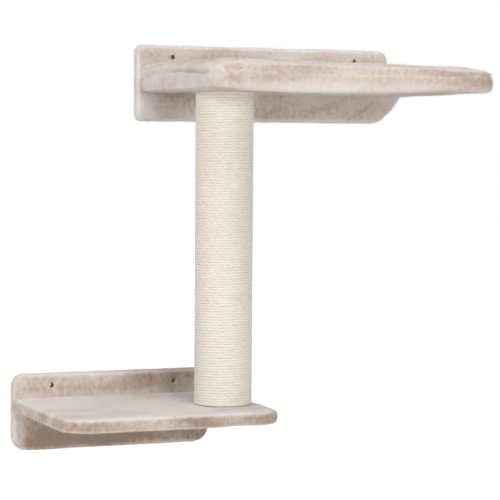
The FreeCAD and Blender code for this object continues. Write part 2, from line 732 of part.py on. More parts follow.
def rope_tube(path, start, forward, width):
    """Sweep the rope's many-sided section along its path."""
    sides = int(number("rope_sides"))
    outward = Vector(start.x, start.y, 0).normalize()
    upward = forward.cross(outward)
    corners = []
    for step in range(sides):
        angle = 2 * math.pi * step / sides
        spoke = outward * math.cos(angle) + upward * math.sin(angle)
        corners.append(start + spoke * (width / 2))
    section = Part.makePolygon(corners + corners[:1])
    sweep = Part.BRepOffsetAPI.MakePipeShell(path)
    sweep.add(section, False, False)
    sweep.build()
    sweep.makeSolid()
    return sweep.shape()


def report_gap(label, path, width):
    """Print the least gap between a winding's turns, measured on points of its path."""
    points_a_turn = 180
    turn = 2 * math.pi * ROPE_RADIUS
    points = path.discretize(Number=int(path.Length / turn * points_a_turn))
    least = min(
        (there - here).Length
        for index, here in enumerate(points)
        for there in points[index + points_a_turn // 2:index + 2 * points_a_turn]
    )
    print(f"{label}: least gap between turns {least - width:.2f} mm")


def middle_turns():
    """Sleeve that stands for the close turns between the modelled ones."""
    body = new_body("rope_middle_turns")
    height = "((rope_end_turns + 1) * rope_pitch + rope_diameter / 2)"
    ring = sketch_on(body, "XY_Plane", height)
    disc(ring, POST_DIAMETER)
    disc(ring, "tube_diameter + 2 * rope_seat")
    pad(body, ring, f"post_length - 2 * {height}")
    place(body, POST_X, POST_Y, POST_Z)
    return body


subparts = []
for unit in (LOWER, UPPER):
    subparts.append(wall_board(unit))
    subparts.append(wall_board_cover(unit))
    subparts.append(shelf_board(unit))
    subparts.append(shelf_cover(unit))
    subparts.append(joint_screws(unit))
    subparts.append(joint_dowels(unit))
subparts.append(shelf_pad())
subparts.append(post_tube())
for end in ("lower", "upper"):
    subparts.append(end_plug(end))
    subparts.append(threaded_insert(end))
subparts.append(post_lower_bolt())
subparts.append(post_washer())
subparts.append(post_upper_bolt())
ROPE_START = number("rope_pitch / 2 + rope_diameter / 2")
ROPE_TOP_START = number("post_length - rope_end_turns * rope_pitch") - ROPE_START
subparts.append(winding("rope_lower_turns", ROPE_START))
subparts.append(middle_turns())
subparts.append(winding("rope_upper_turns", ROPE_TOP_START))
doc.recompute()

for item in doc.Objects:
    if "Invalid" in item.State or "Error" in item.State:
        raise RuntimeError(f"{item.Label} failed: {item.State}")
for subpart in subparts:
    if subpart.Shape.isNull() or not subpart.Shape.isValid():
        raise RuntimeError(f"{subpart.Label} has no valid shape")
for subpart in subparts:
    subpart.Shape.exportStep(f"parts/{subpart.Label}.step")
    print(f"{subpart.Label}: {len(subpart.Shape.Solids)} solid(s), {subpart.Shape.Volume / 1000:.1f} cm3")
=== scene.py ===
"""Cat climbing wall: two plush-covered shelf units on a wall, joined by a sisal-wound post.

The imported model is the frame. Plush skins, the padded shelf and the wound rope are modelled here, and the
carried-over boards, tube, screws and bolts get their finishes. Lengths are in metres, in the model's frame:
X along the wall to the right, Y into the wall, Z up, with the upper screw holes at the origin's height.
"""

import json
import logging
import math
from dataclasses import dataclass, field
from enum import Enum
from typing import Callable, Optional, Sequence

import bmesh
import bpy
from mathutils import Matrix, Vector, noise


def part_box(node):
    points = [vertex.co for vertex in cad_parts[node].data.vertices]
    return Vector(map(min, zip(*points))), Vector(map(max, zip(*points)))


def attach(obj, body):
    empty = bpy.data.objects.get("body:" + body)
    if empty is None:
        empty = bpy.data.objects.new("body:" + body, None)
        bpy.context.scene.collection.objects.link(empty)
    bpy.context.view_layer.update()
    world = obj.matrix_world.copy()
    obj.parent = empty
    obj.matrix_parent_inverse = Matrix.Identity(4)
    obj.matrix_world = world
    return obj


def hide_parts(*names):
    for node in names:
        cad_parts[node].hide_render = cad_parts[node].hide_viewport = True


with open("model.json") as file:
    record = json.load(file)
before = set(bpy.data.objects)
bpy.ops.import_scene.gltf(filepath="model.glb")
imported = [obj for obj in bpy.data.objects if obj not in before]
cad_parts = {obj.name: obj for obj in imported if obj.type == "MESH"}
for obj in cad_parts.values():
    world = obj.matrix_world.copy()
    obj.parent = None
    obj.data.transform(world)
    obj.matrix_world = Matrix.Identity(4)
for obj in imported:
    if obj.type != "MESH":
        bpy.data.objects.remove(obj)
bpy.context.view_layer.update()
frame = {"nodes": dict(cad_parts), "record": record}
LOG = logging.getLogger("cat_climbing_wall")
MM = 0.001
SAME_PLACE = 1e-6
BODY = "root"
# Painted tone of plush and rope: random colour variation together with painted light and shade.
TONE = "tone"
GROWTH = "growth"
WHITE = (1.0, 1.0, 1.0, 1.0)
WALL_COMB = Vector((0.35, 0.0, -0.94)).normalized()
SHELF_COMB = Vector((0.3, -0.95, 0.0)).normalized()
PAD_COMB = Vector((0.55, -0.83, 0.0)).normalized()


class Axis(Enum):
    """Axes, by their index in a vector."""

    X = 0
    Y = 1
    Z = 2


class Slot(Enum):
    """Material slots of the record."""

    PLUSH = "plush"
    SISAL = "sisal"
    CHIPBOARD = "chipboard"
    BEECH = "beech"
    FOAM = "foam"
    CARD = "tube_card"
    SCREW = "screw_steel"
    ZINC = "zinc_steel"


# Finishes


def fill(tree: bpy.types.NodeTree, node: bpy.types.Node, inputs: dict) -> None:
    """Set or link a node's inputs.

    Args:
        tree: The node tree.
        node: The node.
        inputs: By socket name or index, a value or the output that feeds it.
    """
    for key, value in inputs.items():
        if isinstance(value, bpy.types.NodeSocket):
            tree.links.new(value, node.inputs[key])
        else:
            node.inputs[key].default_value = value


def put(tree: bpy.types.NodeTree, kind: str, inputs: Optional[dict] = None,
        **settings: object) -> bpy.types.Node:
    """Add a node, set its properties and fill its inputs.

    Args:
        tree: The node tree.
        kind: The node's type.
        inputs: By socket name or index, a value or the output that feeds it.
        **settings: Property values by name.

    Returns:
        The new node.
    """
    node = tree.nodes.new(kind)
    for key, value in settings.items():
        setattr(node, key, value)
    fill(tree, node, inputs or {})
    return node


@dataclass(frozen=True)
class Grain:
    """Noise pattern on object coordinates, with its features per metre along each axis."""

    scale: tuple
    octaves: float
    fineness: float = 0.6
    turn: float = 0.0


class NodeChain:
    """Small helper that builds one material's node tree."""

    MIX_FACTOR = 0
    MIX_FIRST = 6
    MIX_SECOND = 7
    MIX_RESULT = 2

    def __init__(self, name: str) -> None:
        """Start an empty material with a Principled shader.

        Args:
            name: The material's name.
        """
        self.material = bpy.data.materials.new(name)
        self.material.use_nodes = True
        self.tree = self.material.node_tree
        self.shader = self.tree.nodes["Principled BSDF"]
        self.place = put(self.tree, "ShaderNodeTexCoord").outputs["Object"]

    def painted(self) -> bpy.types.NodeSocket:
        """Give the tone that is painted on the piece, painted light and shade included."""
        return put(self.tree, "ShaderNodeAttribute", attribute_name=TONE).outputs["Fac"]

    def stretched(self, scale: Sequence[float], turn: float = 0.0) -> bpy.types.NodeSocket:
        """Give object coordinates turned about Z and stretched.

        Args:
            scale: Features per metre along each axis.
            turn: Turn about Z in radians.

        Returns:
            The mapped vector.
        """
        inputs = {"Scale": scale, "Rotation": (0.0, 0.0, turn), "Vector": self.place}
        return put(self.tree, "ShaderNodeMapping", inputs).outputs["Vector"]

    def grain(self, grain: Grain) -> bpy.types.NodeSocket:
        """Give a noise pattern.

        Args:
            grain: What the noise is like.

        Returns:
            The pattern, from 0 to 1.
        """
        inputs = {"Vector": self.stretched(grain.scale, grain.turn), "Scale": 1.0,
                  "Detail": grain.octaves, "Roughness": grain.fineness}
        return put(self.tree, "ShaderNodeTexNoise", inputs).outputs["Fac"]

    def ramp(self, pattern: bpy.types.NodeSocket, stops: tuple, tones: tuple) -> bpy.types.NodeSocket:
        """Turn a pattern into colour.

        Args:
            pattern: The pattern.
            stops: The pattern's value for each tone.
            tones: Linear colours.

        Returns:
            The colour.
        """
        node = put(self.tree, "ShaderNodeValToRGB", {"Fac": pattern})
        elements = node.color_ramp.elements
        while len(elements) < len(tones):
            elements.new(1.0)
        for element, position, tone in zip(elements, stops, tones):
            element.position = position
            element.color = (*tone, 1.0)
        return node.outputs["Color"]

    def mix(self, share: float, first: bpy.types.NodeSocket,
            second: bpy.types.NodeSocket) -> bpy.types.NodeSocket:
        """Blend two patterns.

        Args:
            share: The second pattern's share.
            first: The first pattern.
            second: The second pattern.

        Returns:
            The blended pattern.
        """
        inputs = {self.MIX_FACTOR: share, self.MIX_FIRST: first, self.MIX_SECOND: second}
        return put(self.tree, "ShaderNodeMix", inputs, data_type="RGBA").outputs[self.MIX_RESULT]

    def relief(self, height: bpy.types.NodeSocket, share: float, depth: float) -> None:
        """Raise fine relief from a pattern.

        Args:
            height: The pattern.
            share: Share of the full relief.
            depth: The full relief's depth.
        """
        bump = put(self.tree, "ShaderNodeBump", {"Strength": share, "Distance": depth, "Height": height})
        fill(self.tree, self.shader, {"Normal": bump.outputs["Normal"]})

    def finish(self, colour: bpy.types.NodeSocket, roughness: float,
               levels: Optional[dict] = None) -> bpy.types.Material:
        """Set the shader's values.

        Args:
            colour: The base colour.
            roughness: Surface roughness.
            levels: The shader's other inputs, by name.

        Returns:
            The finished material.
        """
        fill(self.tree, self.shader, {"Base Color": colour, "Roughness": roughness, **(levels or {})})
        return self.material


@dataclass(frozen=True)
class PlushFinish:
    """Short beige plush, toned by its painted tone: random colour variation together with painted light and
    shade.
    """

    tones: tuple = ((0.385, 0.287, 0.225), (0.70, 0.597, 0.537), (0.82, 0.79, 0.76))
    stops: tuple = (0.15, 0.5, 0.85)
    fibres: Grain = Grain((1100.0, 600.0, 1100.0), 2.0, turn=0.5)
    fibre_share: float = 0.22
    roughness: float = 0.92
    sheen: float = 0.12
    sheen_roughness: float = 0.5
    sheen_tint: tuple = (1.0, 0.94, 0.88, 1.0)
    gloss: float = 0.15
    relief_share: float = 0.5
    relief_depth: float = 0.9 * MM

    def make(self) -> bpy.types.Material:
        """Build the material."""
        chain = NodeChain("plush_beige")
        # brushed: the painted tone, holding both the pile's random colour variation and its painted light
        # and shade.
        brushed = chain.painted()
        fibres = chain.grain(self.fibres)
        tone = chain.mix(self.fibre_share, brushed, fibres)
        chain.relief(fibres, self.relief_share, self.relief_depth)
        return chain.finish(chain.ramp(tone, self.stops, self.tones), self.roughness, {
            "Sheen Weight": self.sheen,
            "Sheen Roughness": self.sheen_roughness,
            "Sheen Tint": self.sheen_tint,
            "Specular IOR Level": self.gloss,
        })


@dataclass(frozen=True)
class SisalFinish:
    """Dry, pale, fibrous rope, with painted shade in the creases between its strands."""

    tones: tuple = ((0.78, 0.715, 0.61), (0.89, 0.85, 0.775), (0.93, 0.91, 0.86))
    stops: tuple = (0.25, 0.5, 0.75)
    clouds: Grain = Grain((22.0, 22.0, 60.0), 3.0)
    fibres: Grain = Grain((420.0, 420.0, 1500.0), 3.0, fineness=0.7)
    fibre_share: float = 0.5
    crease_shade_share: float = 0.55
    roughness: float = 0.88
    sheen: float = 0.15
    gloss: float = 0.25
    relief_share: float = 0.5
    relief_depth: float = 0.4 * MM

    def make(self) -> bpy.types.Material:
        """Build the material."""
        chain = NodeChain("sisal_rope")
        # strand: painted shade in the creases between the rope's strands.
        strand = chain.painted()
        clouds = chain.grain(self.clouds)
        fibres = chain.grain(self.fibres)
        tone = chain.mix(self.crease_shade_share, chain.mix(self.fibre_share, clouds, fibres), strand)
        chain.relief(fibres, self.relief_share, self.relief_depth)
        return chain.finish(chain.ramp(tone, self.stops, self.tones), self.roughness, {
            "Sheen Weight": self.sheen,
            "Specular IOR Level": self.gloss,
        })


@dataclass(frozen=True)
class ChipboardFinish:
    """Raw chipboard: pressed flakes in a few wood tones."""

    flake_scale: tuple = (420.0, 260.0, 420.0)
    flake_turn: float = 0.6
    tones: tuple = ((0.30, 0.19, 0.10), (0.46, 0.32, 0.18), (0.60, 0.45, 0.28))
    stops: tuple = (0.1, 0.5, 0.9)
    roughness: float = 0.85
    relief_share: float = 0.3
    relief_depth: float = 0.3 * MM

    def make(self) -> bpy.types.Material:
        """Build the material."""
        chain = NodeChain("raw_chipboard")
        inputs = {"Scale": 1.0, "Vector": chain.stretched(self.flake_scale, self.flake_turn)}
        flakes = put(chain.tree, "ShaderNodeTexVoronoi", inputs, distance="CHEBYCHEV")
        shade = put(chain.tree, "ShaderNodeSeparateColor", {"Color": flakes.outputs["Color"]})
        chain.relief(flakes.outputs["Distance"], self.relief_share, self.relief_depth)
        return chain.finish(chain.ramp(shade.outputs["Red"], self.stops, self.tones), self.roughness)


@dataclass(frozen=True)
class GrainedFinish:
    """Material with one fine grain in two tones."""

    name: str
    tones: tuple
    scale: tuple = (500.0, 500.0, 40.0)
    octaves: float = 4.0
    fineness: float = 0.6
    stops: tuple = (0.35, 0.65)
    roughness: float = 0.6
    metallic: float = 0.0
    relief_share: float = 0.3
    relief_depth: float = 0.2 * MM

    def make(self) -> bpy.types.Material:
        """Build the material."""
        chain = NodeChain(self.name)
        grain = chain.grain(Grain(self.scale, self.octaves, self.fineness))
        chain.relief(grain, self.relief_share, self.relief_depth)
        return chain.finish(chain.ramp(grain, self.stops, self.tones), self.roughness, {
            "Metallic": self.metallic,
        })


@dataclass(frozen=True)
class SpeckledFinish(GrainedFinish):
    """Matte material with a fine even grain, such as foam or card."""

    fineness: float = 0.65
    roughness: float = 0.9
    relief_share: float = 0.4
    relief_depth: float = 0.4 * MM


@dataclass(frozen=True)
class PlatedFinish(GrainedFinish):
    """Plated steel with faint handling marks."""

    scale: tuple = (240.0, 240.0, 240.0)
    stops: tuple = (0.3, 0.7)
    roughness: float = 0.34
    metallic: float = 1.0
    relief_share: float = 0.15
    relief_depth: float = 0.1 * MM


FINISHES = {
    Slot.PLUSH: PlushFinish(),
    Slot.SISAL: SisalFinish(),
    Slot.CHIPBOARD: ChipboardFinish(),
    Slot.BEECH: GrainedFinish("beech", ((0.52, 0.34, 0.19), (0.70, 0.51, 0.31))),
    Slot.FOAM: SpeckledFinish("foam", ((0.66, 0.64, 0.52), (0.80, 0.78, 0.66)), (500.0,) * 3),
    Slot.CARD: SpeckledFinish("tube_card", ((0.36, 0.26, 0.16), (0.46, 0.34, 0.22)), (160.0,) * 3),
    Slot.SCREW: PlatedFinish("yellow_zinc", ((0.50, 0.38, 0.16), (0.66, 0.53, 0.27))),
    Slot.ZINC: PlatedFinish("bright_zinc", ((0.52, 0.54, 0.56), (0.68, 0.70, 0.72))),
}


class Wardrobe:
    """Makes each finish once and dresses pieces in it."""

    def __init__(self) -> None:
        """Make all the materials."""
        self.materials = {slot: finish.make() for slot, finish in FINISHES.items()}

    def dress(self, piece: bpy.types.Object, slot: Slot) -> None:
        """Give a new piece one finish.

        Args:
            piece: The piece.
            slot: The finish's slot.
        """
        piece.data.materials.clear()
        piece.data.materials.append(self.materials[slot])

    def dress_frame(self) -> None:
        """Give every carried-over node the finish of its record slot."""
        for row in frame["record"]["subparts"]:
            node = frame["nodes"][row["node"]]
            for holder in node.material_slots:
                holder.material = self.materials[Slot(row["material_slot"])]


# Mesh helpers


def new_piece(name: str, mesh: bpy.types.Mesh) -> bpy.types.Object:
    """Link a mesh into the scene as a piece at the origin.

    Args:
        name: The piece's name.
        mesh: Its mesh.

    Returns:
        The piece.
    """
    piece = bpy.data.objects.new(name, mesh)
    bpy.context.scene.collection.objects.link(piece)
    return piece


def piece_from(name: str, bm: bmesh.types.BMesh) -> bpy.types.Object:
    """Turn a bmesh into a smooth piece with outward faces.

    Args:
        name: The piece's name.
        bm: The mesh, which is freed.

    Returns:
        The piece.
    """
    bmesh.ops.remove_doubles(bm, verts=bm.verts, dist=SAME_PLACE)
    bmesh.ops.recalc_face_normals(bm, faces=bm.faces)
    mesh = bpy.data.meshes.new(name)
    bm.to_mesh(mesh)
    bm.free()
    mesh.shade_smooth()
    return new_piece(name, mesh)


def bake(piece: bpy.types.Object) -> bpy.types.Object:
    """Apply all of a piece's modifiers.

    Args:
        piece: The piece.

    Returns:
        The same piece.
    """
    graph = bpy.context.evaluated_depsgraph_get()
    mesh = bpy.data.meshes.new_from_object(piece.evaluated_get(graph))
    old = piece.data
    piece.modifiers.clear()
    piece.data = mesh
    mesh.name = piece.name
    bpy.data.meshes.remove(old)
    return piece


def remove(piece: bpy.types.Object) -> None:
    """Delete a helper piece and its data."""
    data = piece.data
    bpy.data.objects.remove(piece)
    if isinstance(data, bpy.types.Curve):
        bpy.data.curves.remove(data)
    else:
        bpy.data.meshes.remove(data)


@dataclass(frozen=True)
class Block:
    """Box with rounded corners seen along one axis, and rounded rims at its two faces.

    The corners' radii are those at low-low, high-low, high-high and low-high of the two other axes.
    """

    low: Vector
    high: Vector
    axis: Axis
    corners: tuple
    low_rim: float = 0.0
    high_rim: float = 0.0
    corner_steps: int = 12
    rim_steps: int = 5

    def lies_on(self, edge: bmesh.types.BMEdge, level: float) -> bool:
        """Say whether an edge lies in the face at a level of the block's axis."""
        index = self.axis.value
        return all(abs(vertex.co[index] - level) < SAME_PLACE for vertex in edge.verts)

    def corner_edge(self, bm: bmesh.types.BMesh, low_side: tuple) -> bmesh.types.BMEdge:
        """Find the edge along the axis at one corner.

        Args:
            bm: The box.
            low_side: For the two other axes, whether the corner is at the low side.

        Returns:
            The edge.
        """
        others = [index for index in range(3) if index != self.axis.value]
        aim = [(self.low if low_side[k] else self.high)[others[k]] for k in range(2)]
        for edge in bm.edges:
            if all(abs(v.co[others[k]] - aim[k]) < SAME_PLACE for v in edge.verts for k in range(2)):
                return edge
        raise ValueError("the box has no such corner")

    def build(self) -> bmesh.types.BMesh:
        """Model the block.

        Returns:
            The mesh.
        """
        bm = bmesh.new()
        bmesh.ops.create_cube(bm, size=1.0)
        bmesh.ops.scale(bm, vec=self.high - self.low, verts=bm.verts)
        bmesh.ops.translate(bm, vec=(self.high + self.low) / 2, verts=bm.verts)
        sides = ((True, True), (False, True), (False, False), (True, False))
        for radius, side in zip(self.corners, sides):
            if radius:
                self.round_edges(bm, [self.corner_edge(bm, side)], radius, self.corner_steps)
        index = self.axis.value
        for level, rim in ((self.low[index], self.low_rim), (self.high[index], self.high_rim)):
            if rim:
                edges = [edge for edge in bm.edges if self.lies_on(edge, level)]
                self.round_edges(bm, edges, rim, self.rim_steps)
        return bm

    @staticmethod
    def round_edges(bm: bmesh.types.BMesh, edges: list, radius: float, steps: int) -> None:
        """Round some edges.

        Args:
            bm: The mesh.
            edges: The edges.
            radius: The rounding.
            steps: Its segments.
        """
        bmesh.ops.bevel(bm, geom=edges, offset=radius, offset_type="OFFSET", segments=steps,
                        profile=0.5, affect="EDGES", material=-1, clamp_overlap=True)


def hole_cutter(centre: Vector, radius: float, depth: float, sides: int = 40) -> bpy.types.Object:
    """Make the cutter of a round hole along Y.

    Args:
        centre: Its centre.
        radius: Its radius.
        depth: Its length.
        sides: Number of its sides.

    Returns:
        The piece.
    """
    bm = bmesh.new()
    bmesh.ops.create_cone(bm, cap_ends=True, segments=sides, radius1=radius, radius2=radius, depth=depth)
    bmesh.ops.rotate(bm, cent=(0, 0, 0), matrix=Matrix.Rotation(math.pi / 2, 3, "X"), verts=bm.verts)
    bmesh.ops.translate(bm, vec=centre, verts=bm.verts)
    return piece_from("hole", bm)


class Joining(Enum):
    """What happens where two pieces meet."""

    CUT = "DIFFERENCE"
    FUSE = "UNION"


def combine(piece: bpy.types.Object, others: Sequence[bpy.types.Object], joining: Joining) -> None:
    """Cut pieces out of a piece or fuse them to it, and delete them.

    Args:
        piece: The piece that stays.
        others: The pieces that go.
        joining: Whether they are cut out or fused.
    """
    for other in others:
        meeting = piece.modifiers.new("meeting", "BOOLEAN")
        meeting.operation = joining.value
        meeting.object = other
        meeting.solver = "EXACT"
    bake(piece)
    for other in others:
        remove(other)


def even_out(piece: bpy.types.Object, voxel: float, passes: int, softness: float = 0.5) -> None:
    """Give a piece an even mesh of small squares, a little softened.

    Args:
        piece: The piece.
        voxel: Size of the squares.
        passes: Smoothing passes.
        softness: Share that each pass evens out.
    """
    remesh = piece.modifiers.new("remesh", "REMESH")
    remesh.mode = "VOXEL"
    remesh.voxel_size = voxel
    remesh.use_smooth_shade = True
    soften = piece.modifiers.new("soften", "SMOOTH")
    soften.factor = softness
    soften.iterations = passes
    bake(piece)


def move_vertices(piece: bpy.types.Object, shift: Callable[[Vector, Vector], Vector]) -> None:
    """Move every vertex of a piece by a function of its place and normal.

    Args:
        piece: The piece.
        shift: Gives the move from a vertex's place and normal.
    """
    mesh = piece.data
    moved = [vertex.co + shift(vertex.co, vertex.normal) for vertex in mesh.vertices]
    mesh.vertices.foreach_set("co", [value for place in moved for value in place])
    mesh.update()


def paint(piece: bpy.types.Object, layer: str, value: Callable[[Vector, Vector], float]) -> None:
    """Store a value at every vertex of a piece.

    Args:
        piece: The piece.
        layer: Name of the attribute.
        value: Gives the value from a vertex's place and normal.
    """
    mesh = piece.data
    attribute = mesh.attributes.new(layer, "FLOAT", "POINT")
    attribute.data.foreach_set("value", [value(vertex.co, vertex.normal) for vertex in mesh.vertices])


def smooth_step(value: float, low: float, high: float) -> float:
    """Give 0 below low, 1 above high and a smooth rise between.

    Args:
        value: The value.
        low: Where the rise starts.
        high: Where the rise ends; below low for a fall.

    Returns:
        The share.
    """
    share = max(0.0, min(1.0, (value - low) / (high - low)))
    return share * share * (3 - 2 * share)


def heights(node: str, digits: int = 3) -> tuple:
    """Give the heights of a CAD node's foot and top, rounded to the micrometre.

    Args:
        node: The node's name.
        digits: Digits of a millimetre that are kept.

    Returns:
        The two heights.
    """
    return tuple(round(corner.z / MM, digits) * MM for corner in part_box(node))


def post_axis() -> Vector:
    """Give the post's axis, seen from above."""
    low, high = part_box("post_tube")
    return ((low + high) / 2).xy


POST_AXIS = post_axis()


def post_reach(place: Vector) -> float:
    """Give a place's distance from the post's axis."""
    return (place.xy - POST_AXIS).length


# Plush


@dataclass(frozen=True)
class Crease:
    """Groove pressed or brushed into plush along a line of points, with painted shade laid in it."""

    points: tuple
    width: float
    depth: float
    across: Axis
    # Painted shade at the groove's deepest, in the tone.
    shade: float = 0.22
    reach: float = 34 * MM
    span: float = 3.0
    bank_share: float = 0.35
    bank_place: float = 1.7

    def dip(self, place: Vector) -> float:
        """Give how far the surface sinks at a place.

        Args:
            place: The place.

        Returns:
            The depth there.
        """
        index = self.across.value
        fade = 1 - (abs(place[index] - self.points[0][index]) / self.reach) ** 2
        if fade < 0:
            return 0.0
        place = place.copy()
        place[index] = self.points[0][index]
        least = min(
            (place - self.nearest(place, start, end)).length
            for start, end in zip(self.points, self.points[1:])
        )
        if least > self.span * self.width:
            return 0.0
        reach = least / self.width
        bank = self.bank_share * math.exp(-(reach - self.bank_place) ** 2)
        return fade * self.depth * (math.exp(-reach * reach) - bank)

    @staticmethod
    def nearest(place: Vector, start: Vector, end: Vector) -> Vector:
        """Give the nearest point of a stretch to a place."""
        along = end - start
        share = max(0.0, min(1.0, (place - start).dot(along) / along.length_squared))
        return start + along * share


@dataclass(frozen=True)
class Pile:
    """The relief of plush: soft swells, brushed streaks and creases."""

    comb: Vector
    seed: float
    swell: float = 0.7 * MM
    swell_size: float = 38 * MM
    streak: float = 0.35 * MM
    streak_length: float = 16 * MM
    streak_width: float = 3.5 * MM
    patch: float = 0.32
    patch_size: float = 36 * MM
    patch_stretch: float = 2.0
    fleck: float = 0.17
    fleck_size: float = 6 * MM
    streak_tone: float = 0.1
    flat_tone: float = 0.42
    # Share of painted light and pale pile tips in the tone.
    tips_and_light_tone: float = 0.38
    creases: tuple = ()

    @property
    def offset(self) -> Vector:
        """Shift of the pile's patterns, so that no two covers match."""
        return Vector((self.seed, 2 * self.seed, -self.seed))

    def brushing(self, place: Vector) -> float:
        """Give the brushed streaks at a place, from -1 to 1."""
        along = place.dot(self.comb)
        across = place - self.comb * along
        spot = self.comb * (along / self.streak_length) + across / self.streak_width
        return noise.noise(spot + self.offset)

    def height(self, place: Vector) -> float:
        """Give the relief at a place.

        Args:
            place: The place.

        Returns:
            How far the pile stands out there.
        """
        swell = noise.noise(place / self.swell_size + self.offset)
        dips = sum(crease.dip(place) for crease in self.creases)
        return self.swell * swell + self.streak * self.brushing(place) - dips

    def tone(self, place: Vector, paleness: float) -> float:
        """Give the pile's tone at a place, with its painted light and shade.

        Args:
            place: The place.
            paleness: Painted light, with pale pile tips along edges: 1 for full, 0 for none, below 0 for
                painted shade.

        Returns:
            The tone, from 0 to 1.
        """
        stretched = Vector((place.x / self.patch_stretch, place.y, place.z))
        patch = noise.noise(stretched / self.patch_size - self.offset)
        fleck = noise.noise(place / self.fleck_size + self.offset)
        # Painted shade in the creases' grooves.
        dips = sum(crease.shade * max(0.0, crease.dip(place)) / crease.depth for crease in self.creases)
        streaks = self.streak_tone * self.brushing(place)
        flat = self.flat_tone + self.patch * patch + self.fleck * fleck + streaks
        return max(0.0, min(1.0, flat + self.tips_and_light_tone * paleness - dips))


@dataclass(frozen=True)
class Tufts:
    """Loose ends of pile that give plush its soft outline."""

    comb: Vector
    count: int
    length: float = 3.2 * MM
    radius: float = 0.22 * MM
    sides: int = 3
    sizes: tuple = (0.6, 1.2)
    tones: tuple = (-0.2, 0.3)
    lift: float = 0.8
    stray: float = 0.95
    seed: int = 1

    def grow(self, name: str, skin: bpy.types.Object) -> bpy.types.Object:
        """Grow the pile on a skin.

        Args:
            name: The new piece's name.
            skin: The plush that it grows on.

        Returns:
            The piece that holds the pile.
        """
        growth = skin.data.attributes[GROWTH].data
        area = sum(
            face.area * sum(growth[index].value for index in face.vertices) / len(face.vertices)
            for face in skin.data.polygons
        )
        piece = new_piece(name, skin.data.copy())
        modifier = piece.modifiers.new("pile", "NODES")
        modifier.node_group = self.group(name, self.count / area)
        return bake(piece)

    def group(self, name: str, density: float) -> bpy.types.NodeTree:
        """Build the scattering of tufts.

        Args:
            name: The group's name.
            density: Tufts per square metre.

        Returns:
            The node group.
        """
        tree = bpy.data.node_groups.new(name, "GeometryNodeTree")
        tree.interface.new_socket("Skin", in_out="INPUT", socket_type="NodeSocketGeometry")
        tree.interface.new_socket("Pile", in_out="OUTPUT", socket_type="NodeSocketGeometry")
        skin = put(tree, "NodeGroupInput").outputs[0]
        crowd = self.maths(tree, "MULTIPLY", self.painted(tree, GROWTH), density)
        scatter = put(tree, "GeometryNodeDistributePointsOnFaces",
                      {"Mesh": skin, "Density": crowd, "Seed": self.seed})
        spike = put(tree, "GeometryNodeMeshCone", {
            "Vertices": self.sides,
            "Radius Top": 0.0,
            "Radius Bottom": self.radius,
            "Depth": self.length,
        }, fill_type="NGON")
        place = put(tree, "GeometryNodeInstanceOnPoints", {
            "Points": scatter.outputs["Points"],
            "Instance": spike.outputs["Mesh"],
            "Rotation": self.leaning(tree, scatter.outputs["Normal"]),
            "Scale": self.spread(tree, *self.sizes),
        })
        # Each tuft takes the skin's painted tone, painted light and shade included, shifted at random.
        tone = self.maths(tree, "ADD", self.painted(tree, TONE), self.spread(tree, *self.tones))
        toned = put(tree, "GeometryNodeStoreNamedAttribute", {
            "Name": TONE,
            "Value": tone,
            "Geometry": place.outputs["Instances"],
        }, data_type="FLOAT", domain="INSTANCE")
        real = put(tree, "GeometryNodeRealizeInstances", {"Geometry": toned.outputs["Geometry"]})
        put(tree, "NodeGroupOutput", {0: real.outputs["Geometry"]})
        return tree

    def leaning(self, tree: bpy.types.NodeTree, normal: bpy.types.NodeSocket) -> bpy.types.NodeSocket:
        """Turn each tuft along the comb, a little outward and a little astray.

        Args:
            tree: The tree that the nodes go into.
            normal: The skin's normal at the tuft.

        Returns:
            The tuft's rotation.
        """
        facing = put(tree, "ShaderNodeVectorMath", {0: normal, 1: self.comb}, operation="DOT_PRODUCT")
        share = self.maths(tree, "SUBTRACT", self.lift, facing.outputs["Value"])
        outward = put(tree, "ShaderNodeVectorMath", {0: normal, "Scale": share}, operation="SCALE")
        limits = {"Min": (-self.stray,) * 3, "Max": (self.stray,) * 3}
        random = put(tree, "FunctionNodeRandomValue", limits, data_type="FLOAT_VECTOR")
        stray = random.outputs["Value"]
        aim = put(tree, "ShaderNodeVectorMath", {0: self.comb, 1: outward.outputs[0]}, operation="ADD")
        lean = put(tree, "ShaderNodeVectorMath", {0: aim.outputs[0], 1: stray}, operation="ADD")
        turn = put(tree, "FunctionNodeAlignRotationToVector", {"Vector": lean.outputs[0]}, axis="Z")
        return turn.outputs["Rotation"]

    @staticmethod
    def maths(tree: bpy.types.NodeTree, operation: str, first: object,
              second: object) -> bpy.types.NodeSocket:
        """Give a sum, difference or product of two sockets or numbers."""
        return put(tree, "ShaderNodeMath", {0: first, 1: second}, operation=operation).outputs["Value"]

    @staticmethod
    def painted(tree: bpy.types.NodeTree, layer: str) -> bpy.types.NodeSocket:
        """Read a value that is painted on the skin."""
        node = put(tree, "GeometryNodeInputNamedAttribute", {"Name": layer}, data_type="FLOAT")
        return node.outputs["Attribute"]

    @staticmethod
    def spread(tree: bpy.types.NodeTree, least: float, most: float) -> bpy.types.NodeSocket:
        """Give each tuft a random number, by the node's inputs 2 and 3 and its output 1 for numbers."""
        return put(tree, "FunctionNodeRandomValue", {2: least, 3: most}, data_type="FLOAT").outputs[1]


